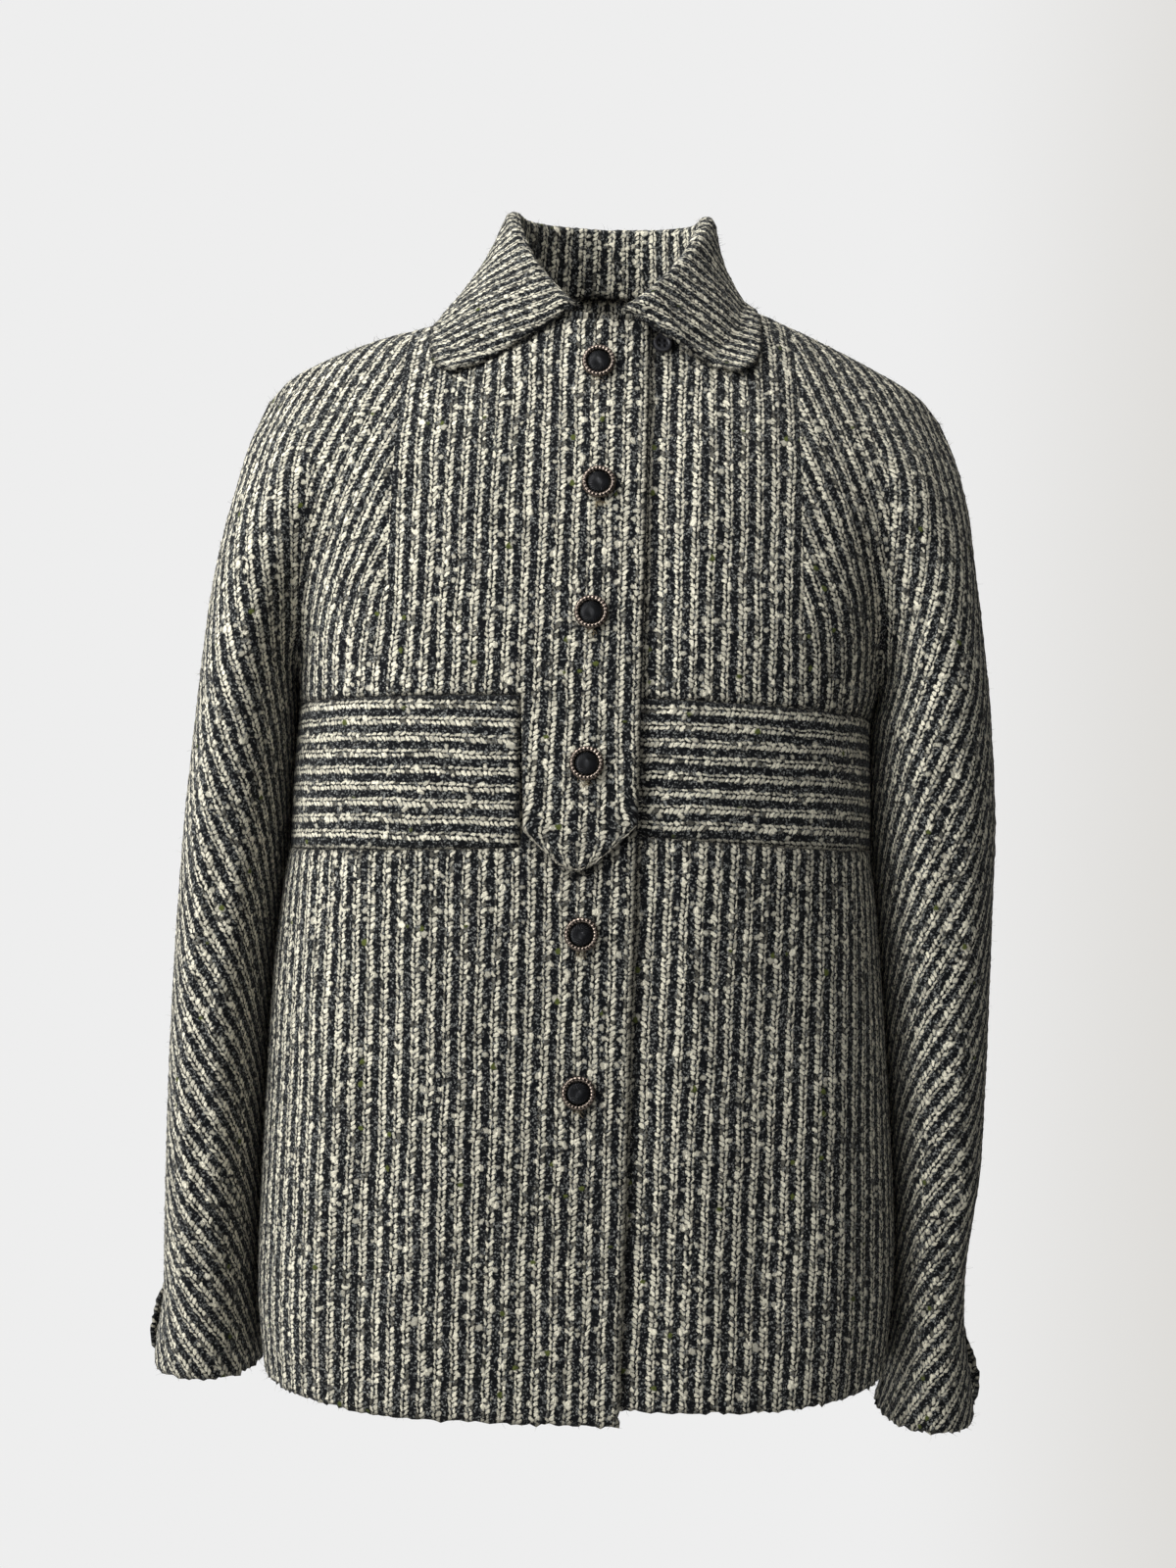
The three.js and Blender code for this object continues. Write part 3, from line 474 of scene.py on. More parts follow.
def yoke_grids(half, face, columns, dart):
    """The yoke, body and sleeve in one, from the neckline and shoulder seam to the underarm."""
    rows = int(SHOULDER_ROUND * 2.7 / STEP)
    sleeve_steps = int(118 / STEP)
    down = (1 - np.cos(np.linspace(0, math.pi / 2, rows + 1)))[:, None]
    end_z = mix(SHOULDER.read(half, SHOULDER_END), UNDERARM_Z, down)
    share = (np.arange(1, sleeve_steps + 1) / sleeve_steps)[None, :]
    bend = mix(np.sin(share * math.pi / 2), (1 - np.cos(share * math.pi)) / 2, down)
    valley = mix(columns.top[-1], columns.low[-1], down)
    body_out = mix(columns.top[None, :], columns.low[None, :], down)
    arm_out = mix(valley, OUTLINE.read(half, end_z), bend)
    arm_top = mix(columns.top[-1], OUTLINE.read(half, -66), bend)
    out = np.hstack([body_out, arm_out])
    top_out = np.hstack([np.repeat(columns.top[None, :], rows + 1, 0), arm_top])
    z = mix(top_line(half, face, top_out)[1], UNDERARM_Z, down)
    depth = yoke_depth(half, face, out, z)
    lap = under_lap(half, out) if face == "front" else np.zeros_like(out)
    seamed = np.zeros_like(out, bool)
    seamed[:, -1] = True
    seamed[0] = top_out[0] >= NECK_HALF - 1e-6
    seamed[-1, columns.fold] = True
    if dart:
        line = out[:, columns.dart][:, None]
        depth = depth - 1.0 * np.exp(-(((out - line) / 2.4) ** 2)) * (z > DART_END[half])
    depth[seamed] = 0
    lap[seamed] = 0
    points = place(half, face, out, z, depth, lap)
    fold = columns.fold
    fold_row = int(np.sum(z[:, fold] > FOLD_START))
    arm = Grid(points[:, fold:], SLEEVE_LEAN.read("lean", z[:, fold:]), [(0, fold_row, None, FOLD_CUT)])
    lean = CHEST_LEAN.read("lean", z)
    if not dart:
        lean = lean * smooth(100, 165, out)
        return [Grid(points[:, : fold + 1], lean[:, : fold + 1]), arm], points[-1]
    dart_row = int(np.sum(z[:, columns.dart] > DART_END[half]))
    below = smooth(DART_END[half] + 12, DART_END[half] - 30, z)
    faded = smooth(104, 158, out)
    beside = lean * mix(1, faded, below)
    inside = lean * faded * below
    near = slice(columns.dart, fold + 1)
    chest = Grid(points[:, near], beside[:, near], [(0, 0, dart_row, DART_CUT)])
    panel = slice(None, columns.dart + 1)
    return [Grid(points[:, panel], inside[:, panel]), chest, arm], points[-1]


def sleeve_grid(half, face, start):
    """The sleeve below the underarm, with its corner rounded at the cuff's slit."""
    rows = int((UNDERARM_Z - CUFF_Z[half]) / STEP)
    steps = start.shape[0] - 1
    turn = ((1 - np.cos(np.linspace(0, math.pi, steps + 1))) / 2)[None, :]
    level = mix(UNDERARM_Z, CUFF_Z[half], np.linspace(0, 1, rows + 1)[1:, None])
    out = mix(SLEEVE.read(half, level), OUTLINE.read(half, level), turn)
    depth = sleeve_depth(half, face, out, level)
    depth[:, [0, -1]] = 0
    near_slit = np.where(turn > 0.5, np.maximum(CUFF_CORNER - depth, 0), 0)
    corner = CUFF_CORNER - np.sqrt(CUFF_CORNER**2 - near_slit**2)
    low = smooth(UNDERARM_Z, CUFF_Z[half], level) ** 3
    flare = cuff_flare(half, depth, level) * (turn > 0.5) if face == "back" else 0
    points = place(half, face, out + flare, level + corner * low, depth)
    points = np.concatenate([start[None], points])
    return Grid(points, SLEEVE_LEAN.read("lean", points[..., 2]), [(0, 0, 1, FOLD_CUT)])


def front_upper_grids(half):
    columns = Columns(half, half)
    grids, under = yoke_grids(half, "front", columns, dart=True)
    rows = 7
    down = np.linspace(0, 1, rows)[1:, None]
    low = columns.low[None, :]
    z = mix(UNDERARM_Z, band_top(low) + SEAM_GAP / 2, down)
    out = low * (BODY.read(half, z) / ARMPIT[half]) ** smooth(41, 170, low)
    depth = body_depth(half, "front", out, z)
    lap = under_lap(half, out)
    depth[:, -1] = 0
    lap[:, -1] = 0
    strip = np.concatenate([under[None, : columns.fold + 1], place(half, "front", out, z, depth, lap)])
    grids.append(Grid(strip, CHEST_LEAN.read("lean", -240) * smooth(104, 158, low)))
    grids.append(sleeve_grid(half, "front", under[columns.fold :]))
    if half == "right":
        grids.append(tab_grid(strip[-1, : len(columns.panel) + 1]))
    return grids


def tab_bottom(out):
    return TAB_TIP_Z + TAB_SLOPE * (np.hypot(out - TAB_TIP_OUT, TAB_TIP_RADIUS) - TAB_TIP_RADIUS)


def lift_at(z):
    """How far the tab has come away from the seam line at a height."""
    return LAP * (1 - smooth(TAB_LIFT_LOW, TAB_LIFT_TOP, z))


def tab_grid(start):
    rows = int(96 / STEP)
    down = np.linspace(0, 1, rows + 1)[1:, None]
    first = -start[None, :, 0]
    narrowed = mix(first, first * (TAB_LEFT_LOW / TAB_LEFT), down)
    out = np.where(first > TAB_TIP_OUT, narrowed, first)
    z = mix(band_top(np.maximum(out, 0)), tab_bottom(out), down)
    lift = lift_at(z) + TAB_PUFF * smooth(-285, -325, z)
    points = place("right", "front", out, z, body_depth("right", "front", out, z), lift)
    points = np.concatenate([start[None], points])
    out = -points[..., 0]
    towards_tip = np.clip((out - TAB_TIP_OUT) / 9, -1, 1)
    return Grid(points, -46 * towards_tip * smooth(12, 2, points[..., 2] - tab_bottom(out)))


def lower_points(half, face, start, height_at, rows):
    down = np.linspace(0, 1, rows + 1)
    guess = hip_columns(half, start, np.array([float(height_at(90.0, share)) for share in down]))
    z = height_at(guess, down[:, None])
    out = guess.copy()
    out[:, -1] = BODY.read(half, z[:, -1])
    depth = body_depth(half, face, out, z)
    lap = under_lap(half, out) if face == "front" else np.zeros_like(out)
    depth[:, -1] = 0
    lap[:, -1] = 0
    return place(half, face, out, z, depth, lap)


def front_band_grids(half):
    rows = int(76 / STEP)
    start = PANEL_START["left"]
    if half == "right":
        start = mix(TAB_LEFT, TAB_LEFT_LOW, BAND_END * np.linspace(0, 1, rows + 1)) + BAND_CLEAR

    def height_at(out, down):
        return mix(band_top(out) - SEAM_GAP / 2, band_low(half, out) + SEAM_GAP / 2, down)

    return [Grid(lower_points(half, "front", start, height_at, rows), 90)]


def front_lower_grids(half):
    def height_at(out, down):
        return mix(lower_top(half, out), hem_z(half, out), down)

    return [Grid(lower_points(half, "front", PANEL_START[half], height_at, int(320 / STEP)), 0)]


def back_grids(half):
    columns = Columns("back", half)
    grids, under = yoke_grids(half, "back", columns, dart=False)
    rows = int((UNDERARM_Z - HEM_Z["back"]) / STEP)
    down = np.linspace(0, 1, rows + 1)[1:, None]
    guess = columns.at(mix(UNDERARM_Z, HEM_Z["back"], down[:, 0]))
    z = mix(UNDERARM_Z, hem_z("back", guess), down)
    out = guess.copy()
    out[:, -1] = BODY.read(half, z[:, -1])
    depth = body_depth(half, "back", out, z)
    depth[:, -1] = 0
    points = np.concatenate([under[None, : columns.fold + 1], place(half, "back", out, z, depth)])
    grids.append(Grid(points, 0))
    grids.append(sleeve_grid(half, "back", under[columns.fold :]))
    return grids


def yoke_height(x, y, z):
    """Height of the yoke's outer surface under points of the collar."""
    height = np.zeros_like(x)
    out = np.abs(x)
    for half in SIDE:
        for face in FORWARD:
            here = ((x < 0) == (half == "right")) & ((y < SEAM_Y) == (face == "front"))
            top_depth, top_z = top_line(half, face, out)
            full = body_depth(half, face, out, np.minimum(z, top_z))
            share = np.clip((np.abs(y - SEAM_Y) - top_depth) / (full - top_depth), 0, 0.98)
            level = top_z - SHOULDER_ROUND * (1 - np.sqrt(1 - share**2))
            height = np.where(here, level, height)
    return height


def clear_of_body(points, need):
    """Pushes points off the fronts, shoulders and backs, with room for their own cloth."""
    probe = 0.5
    for _ in range(5):
        x, y, z = np.moveaxis(points, -1, 0)
        height = yoke_height(x, y, z)
        slope_x = (height - yoke_height(x + probe, y, z)) / probe
        slope_y = (height - yoke_height(x, y + probe, z)) / probe
        away = np.stack([slope_x, slope_y, np.ones_like(x)], -1)
        length = np.linalg.norm(away, axis=-1)
        push = np.maximum(need - (z - height) / length, 0)
        points = points + away * (push / length)[..., None]
    return points


def collar_grids():
    """The stand with its roll, and the leaf turned down from it, as two grids with a shared row."""
    turns = np.linspace(-COLLAR_END["right"], COLLAR_END["left"], 170)[None, :]
    left = turns > 0
    size = np.abs(turns) * np.where(left, COLLAR_END["right"] / COLLAR_END["left"], 1)
    angle = np.radians(turns)
    ahead = np.cos(angle)
    front = np.abs(turns) > 90
    reach = np.where(front, NECK_REACH["front"], NECK_REACH["back"])
    base_z = np.where(front, NECK_Z["front"], NECK_Z["back"]) * np.abs(ahead) ** 1.5 + SEAM_GAP
    base = np.stack([NECK_HALF * np.sin(angle), SEAM_Y + reach * ahead, base_z], -1)
    away = np.stack([np.sin(angle) / NECK_HALF, ahead / reach, np.zeros_like(ahead)], -1)
    away /= np.linalg.norm(away, axis=-1)[..., None]
    rise = COLLAR.read("rise", size)
    roll = COLLAR.read("roll", size)

    def at(outward, up):
        point = base + away * np.asarray(outward - STAND_LEAN * up)[..., None]
        point[..., 2] = base_z + up
        return point

    stand = [at(-WALL, (rise - roll) * share) for share in np.linspace(0, 1, 18)]
    for bend in np.linspace(0, 1, 7)[1:]:
        turn = bend * math.pi / 2
        stand.append(at(-WALL + roll * (1 - np.cos(turn)), rise - roll + roll * np.sin(turn)))
    leaf = [stand[-1]]
    for bend in np.linspace(0, 1, 5)[1:]:
        turn = mix(math.pi / 2, math.pi * 0.78, bend)
        leaf.append(at(-WALL + roll * (1 - np.cos(turn)), rise - roll + roll * np.sin(turn)))
    start = at(-WALL + roll * 2.05, rise - roll * 1.2)
    raised = np.where(left, COLLAR_RAISE["left"], COLLAR_RAISE["right"]) * np.sin(angle) ** 2
    scale = np.sign(turns) * np.where(left, COLLAR_SCALE["left"], COLLAR_SCALE["right"])
    edge = np.stack([
        scale * COLLAR.read("out", size),
        COLLAR.read("y", size),
        COLLAR.read("z", size) + raised,
    ], -1)
    bow = COLLAR.read("bow", size)[..., None]
    fall = [
        mix(start, edge, share) + away * bow * math.sin(math.pi * share)
        for share in np.linspace(0, 1, 28)
    ]
    fall = np.concatenate(fall)
    near_button = np.hypot(fall[..., 0] - NECK_BUTTON[0], fall[..., 2] - NECK_BUTTON[1])
    room = NECK_BUTTON_ROOM * np.exp(-((near_button / (2.5 * NECK_BUTTON_RADIUS)) ** 2))
    fall = clear_of_body(fall, LEAF_CLEARANCE + room)
    return [Grid(np.concatenate(stand), 0), Grid(np.concatenate([*leaf, fall]), 0)]


def stripe_frame(grid, half, face):
    """Unit directions across and along the stripes at each point of a grid."""
    down = np.gradient(grid.points, axis=0)
    outward = np.gradient(grid.points, axis=1)
    if half is None:
        along = down / np.linalg.norm(down, axis=-1)[..., None]
        across = outward - np.sum(outward * along, -1)[..., None] * along
        return across / np.maximum(np.linalg.norm(across, axis=-1), 1e-9)[..., None], along
    normal = np.cross(down, outward)
    normal *= np.sign(np.sum(normal[..., 1]) * FORWARD[face])
    normal /= np.maximum(np.linalg.norm(normal, axis=-1), 1e-9)[..., None]
    fall = np.zeros_like(normal)
    fall[..., 1] = FORWARD[face] * np.maximum(normal[..., 2], 0)
    fall[..., 2] = -1
    fall -= np.sum(fall * normal, -1)[..., None] * normal
    fall /= np.maximum(np.linalg.norm(fall, axis=-1), 1e-9)[..., None]
    away = np.cross(normal, fall) * SIDE[half] * -FORWARD[face]
    lean = np.radians(grid.lean)[..., None]
    along = np.cos(lean) * fall + np.sin(lean) * away
    across = np.cos(lean) * away - np.sin(lean) * fall
    return across, along


def number_points(grids):
    """One number for each place of the cloth, with the two sides of a cut kept apart."""
    numbers = {}
    tables = []
    for grid in grids:
        keys = np.round(grid.points, 3)
        table = np.zeros(grid.points.shape[:2], int)
        for row in range(table.shape[0]):
            for column in range(table.shape[1]):
                key = (*keys[row, column], grid.tags[row, column])
                table[row, column] = numbers.setdefault(key, len(numbers))
        tables.append(table)
    return tables, len(numbers)


def lay_flat(edges, wanted, count, rounds=900):
    """Flat places whose differences along the edges come nearest to the wanted ones."""
    first, second = edges.T

    def gather(values):
        ends = [
            np.bincount(second, values[:, k], count) - np.bincount(first, values[:, k], count)
            for k in (0, 1)
        ]
        return np.stack(ends, 1)

    degree = np.bincount(first, minlength=count) + np.bincount(second, minlength=count)
    degree = np.maximum(degree, 1)[:, None]
    flat = np.zeros((count, 2))
    residual = gather(wanted)
    aim = residual / degree
    way = aim.copy()
    size = np.sum(residual * aim, 0)
    for _ in range(rounds):
        pull = gather(way[second] - way[first])
        step = size / np.maximum(np.sum(way * pull, 0), 1e-12)
        flat += step * way
        residual -= step * pull
        aim = residual / degree
        new_size = np.sum(residual * aim, 0)
        way = aim + new_size / np.maximum(size, 1e-12) * way
        size = new_size
    return flat


def cloth_flat(grids, half, face):
    """Flat coordinates of every grid point: across the stripes, and along them."""
    tables, count = number_points(grids)
    edges = []
    wanted = []
    for grid, table in zip(grids, tables):
        across, along = stripe_frame(grid, half, face)
        for axis in (0, 1):
            here = [slice(None), slice(None)]
            there = [slice(None), slice(None)]
            here[axis] = slice(None, -1)
            there[axis] = slice(1, None)
            here, there = tuple(here), tuple(there)
            step = grid.points[there] - grid.points[here]
            u = np.sum(step * (across[here] + across[there]) / 2, -1)
            v = np.sum(step * (along[here] + along[there]) / 2, -1)
            edges.append(np.stack([table[here].ravel(), table[there].ravel()], 1))
            wanted.append(np.stack([u.ravel(), v.ravel()], 1))
    flat = lay_flat(np.concatenate(edges), np.concatenate(wanted), count)
    flat -= flat[tables[0][0, 0]]
    return [flat[table] for table in tables]


def straight_flat(grid, rounds=25):
    """Flat coordinates of a grid laid out without stretch, its grain straight at the middle."""
    points = grid.points
    flat = cloth_flat([grid], None, None)[0]
    rows, columns = flat.shape[:2]
    table = np.arange(rows * columns).reshape(rows, columns)
    corners = [np.s_[:-1, :-1], np.s_[:-1, 1:], np.s_[1:, 1:], np.s_[1:, :-1]]
    out = points[corners[1]] - points[corners[0]] + points[corners[2]] - points[corners[3]]
    down = points[corners[3]] - points[corners[0]] + points[corners[2]] - points[corners[1]]
    out /= np.linalg.norm(out, axis=-1)[..., None]
    down -= np.sum(down * out, -1)[..., None] * out
    down /= np.linalg.norm(down, axis=-1)[..., None]
    sides = list(zip(corners, corners[1:] + corners[:1]))
    edges = []
    local = []
    for first, second in sides:
        step = points[second] - points[first]
        local.append(np.stack([np.sum(step * out, -1), np.sum(step * down, -1)], -1))
        edges.append(np.stack([table[first].ravel(), table[second].ravel()], 1))
    local = np.stack(local)
    edges = np.concatenate(edges)
    for _ in range(rounds):
        now = np.stack([flat[second] - flat[first] for first, second in sides])
        cosine = np.sum(local * now, (0, -1))
        sine = np.sum(local[..., 0] * now[..., 1] - local[..., 1] * now[..., 0], 0)
        turn = np.arctan2(sine, cosine)
        aim = np.stack([
            local[..., 0] * np.cos(turn) - local[..., 1] * np.sin(turn),
            local[..., 0] * np.sin(turn) + local[..., 1] * np.cos(turn),
        ], -1)
        flat = flat + lay_flat(edges, (aim - now).reshape(-1, 2), rows * columns, 160)[table]
    middle = int(np.argmin(np.abs(points[0, :, 0])))
    grain = flat[-1, middle] - flat[0, middle]
    turn = math.atan2(grain[0], grain[1])
    spun = flat - flat[0, middle]
    u = spun[..., 0] * math.cos(turn) - spun[..., 1] * math.sin(turn)
    v = spun[..., 0] * math.sin(turn) + spun[..., 1] * math.cos(turn)
    ends = smooth(20, 95, np.abs(u[:1])) * np.sign(u[:1])
    down = np.cumsum(np.linalg.norm(np.diff(points, axis=0, prepend=points[:1]), axis=-1), 0)
    return np.stack([(u + LEAF_LEAN * ends * down) * LEAF_CLOSE, v], -1)


def add_grid(bm, layer, points, flat):
    """A grid of quads with its vertices at the points and the flat places in its UV map."""
    rows, columns = points.shape[:2]
    made = bmesh.ops.create_grid(bm, x_segments=columns - 1, y_segments=rows - 1, size=0.5)
    where = {}
    for vert in made["verts"]:
        column = round((vert.co.x + 0.5) * (columns - 1))
        row = round((vert.co.y + 0.5) * (rows - 1))
        where[vert] = (row, column)
        vert.co = points[row, column] * MM
    for face in {face for vert in made["verts"] for face in vert.link_faces}:
        for loop in face.loops:
            loop[layer].uv = flat[where[loop.vert]]


def finish_piece(name, bm, material):
    mesh = bpy.data.meshes.new(name)
    bm.to_mesh(mesh)
    bm.free()
    mesh.polygons.foreach_set("use_smooth", [True] * len(mesh.polygons))
    mesh.materials.append(material)
    piece = bpy.data.objects.new(name, mesh)
    bpy.context.scene.collection.objects.link(piece)
    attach(piece, "root")
    return piece


def edge_distances(bm, reach):
    """Distance from the cloth's edge, along its surface, of every vertex nearer than reach."""
    distances = {vert: 0.0 for vert in bm.verts if vert.is_boundary}
    queue = [(0.0, vert.index, vert) for vert in distances]
    while queue:
        here, _, vert = heapq.heappop(queue)
        if here > distances[vert]:
            continue
        for link in vert.link_edges:
            other = link.other_vert(vert)
            there = here + link.calc_length()
            if there < min(distances.get(other, reach), reach):
                distances[other] = there
                heapq.heappush(queue, (there, other.index, other))
    return distances


def sink_edges(bm, half):
    """Turns the cloth's edges in, paints shade along them, and roughens the surface with small nubs."""
    bm.normal_update()
    bm.verts.index_update()
    rng = np.random.default_rng(7)
    # The 'edge' layer holds painted shade: darker along edges and seams, below the tab, and beside the
    # lap.
    painted_shade_layer = bm.verts.layers.float.new("edge")
    distances = edge_distances(bm, EDGE_WIDE * MM)
    edge_shade = COLLAR_EDGE_SHADE if half is None else EDGE_SHADE
    shifts = []
    for vert in bm.verts:
        away = distances.get(vert, 1.0) / MM
        spacing = min(link.calc_length() for link in vert.link_edges) / MM
        shade = edge_shade * max(1 - away / EDGE_WIDE, 0)
        x, y, z = vert.co / MM
        # Painted shadow on the lower front just below the tab's edge.
        if half == "right" and y < SEAM_Y and abs(x) < PANEL_END and TAB_TIP_Z - 8 < z < TAB_TIP_Z + 40:
            below = float(tab_bottom(-x)) - z
            if 0 < below < TAB_SHADOW:
                shade = max(shade, TAB_SHADE * (1 - below / TAB_SHADOW))
        # Painted shadow on the left front beside the right front's lapping edge.
        if half == "left" and y < SEAM_Y and LAP_SHADOW_START < x < LAP_SHADOW_MIDDLE + LAP_SHADOW_HALF:
            shade = max(shade, 1 - abs(x - LAP_SHADOW_MIDDLE) / LAP_SHADOW_HALF)
        vert[painted_shade_layer] = shade
        on_seam = half is not None and abs(y - SEAM_Y) < SEAM_NEAR
        normal = vert.normal.copy()
        if on_seam:
            normal.y = 0
        rough = NUB * float(rng.normal()) * min(spacing / NUB_WIDE, 1) * min(away / STEP, 1)
        sink = EDGE_SINK * max(1 - away / SINK_WIDE, 0) ** 1.5
        sink *= min(math.hypot(abs(x) - SHOULDER_END, z - CORNER_Z) / CORNER_REACH, 1) ** 2
        if on_seam and z < UNDERARM_Z and abs(x) < SLEEVE_INNER_END:
            sink = 0
        shift = normal * (rough - sink)
        if away == 0 and (half is None or z < FREE_EDGE_Z):
            shift += Vector(rng.normal(0, FREE_ROUGH, 3))
        shifts.append(shift * MM)
    for vert, shift in zip(bm.verts, shifts):
        vert.co += shift


def cloth_piece(name, grids, half, face, material):
    """One cloth piece over its CAD node: merged grids with a wall behind them."""
    if half is None:
        flats = [cloth_flat(grids[:1], None, None)[0], straight_flat(grids[1])]
    else:
        flats = cloth_flat(grids, half, face)
    bm = bmesh.new()
    layer = bm.loops.layers.uv.new("cloth")
    for grid, flat in zip(grids, flats):
        add_grid(bm, layer, grid.points, flat)
    bmesh.ops.remove_doubles(bm, verts=bm.verts, dist=0.00001)
    bm.normal_update()
    if half is None:
        middle = Vector((0, SEAM_Y * MM, 0))
        facing = sum(f.normal.dot(f.calc_center_median() - middle) for f in bm.faces)
    else:
        facing = sum(f.normal.y for f in bm.faces) * FORWARD[face]
    if facing < 0:
        bmesh.ops.reverse_faces(bm, faces=bm.faces)
    sink_edges(bm, half)
    piece = finish_piece(name + "_cloth", bm, material)
    wall = piece.modifiers.new("wall", "SOLIDIFY")
    wall.thickness = WALL * MM
    wall.offset = -1
    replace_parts(piece, name)
    return piece


class Wires:
    """Short calls for wiring a node tree."""

    def __init__(self, tree):
        self.tree = tree

    def node(self, kind, inputs=None, **settings):
        made = self.tree.nodes.new(kind)
        for key, value in settings.items():
            setattr(made, key, value)
        for key, value in (inputs or {}).items():
            self.put(made.inputs[key], value)
        return made

    def put(self, socket, value):
        if isinstance(value, bpy.types.NodeSocket):
            self.tree.links.new(value, socket)
        else:
            socket.default_value = value

    def math(self, operation, *values, clamp=False):
        made = self.node("ShaderNodeMath", operation=operation, use_clamp=clamp)
        for socket, value in zip(made.inputs, values):
            self.put(socket, value)
        return made.outputs[0]

    def step(self, value, low, high):
        """Eased step of a value from 0 at low to 1 at high."""
        made = self.node("ShaderNodeMapRange", interpolation_type="SMOOTHSTEP")
        for key, given in (("Value", value), ("From Min", low), ("From Max", high)):
            self.put(made.inputs[key], given)
        return made.outputs["Result"]

    def centred(self, color):
        """A noise's colour moved so that it averages nothing."""
        made = self.node("ShaderNodeVectorMath", operation="SUBTRACT")
        self.put(made.inputs[0], color)
        made.inputs[1].default_value = (0.5, 0.5, 0.5)
        return made.outputs[0]

    def blend(self, share, first, second, mode="MIX"):
        made = self.node("ShaderNodeMix", data_type="RGBA", blend_type=mode)
        self.put(made.inputs["Factor"], share)
        self.put(made.inputs["A"], first)
        self.put(made.inputs["B"], second)
        return made.outputs["Result"]

    def pair(self, x, y):
        made = self.node("ShaderNodeCombineXYZ")
        self.put(made.inputs[0], x)
        self.put(made.inputs[1], y)
        return made.outputs[0]

    def chance(self, x, y):
        """Three random values for each pair of whole numbers."""
        made = self.node("ShaderNodeTexWhiteNoise", noise_dimensions="2D")
        self.put(made.inputs["Vector"], self.pair(x, y))
        return self.node("ShaderNodeSeparateColor", {"Color": made.outputs["Color"]}).outputs


def rgb(red, green, blue):
    """A colour given as it looks on a screen, 0 to 255."""

    def linear(value):
        value /= 255
        return value / 12.92 if value <= 0.04045 else ((value + 0.055) / 1.055) ** 2.4

    return (linear(red), linear(green), linear(blue), 1)


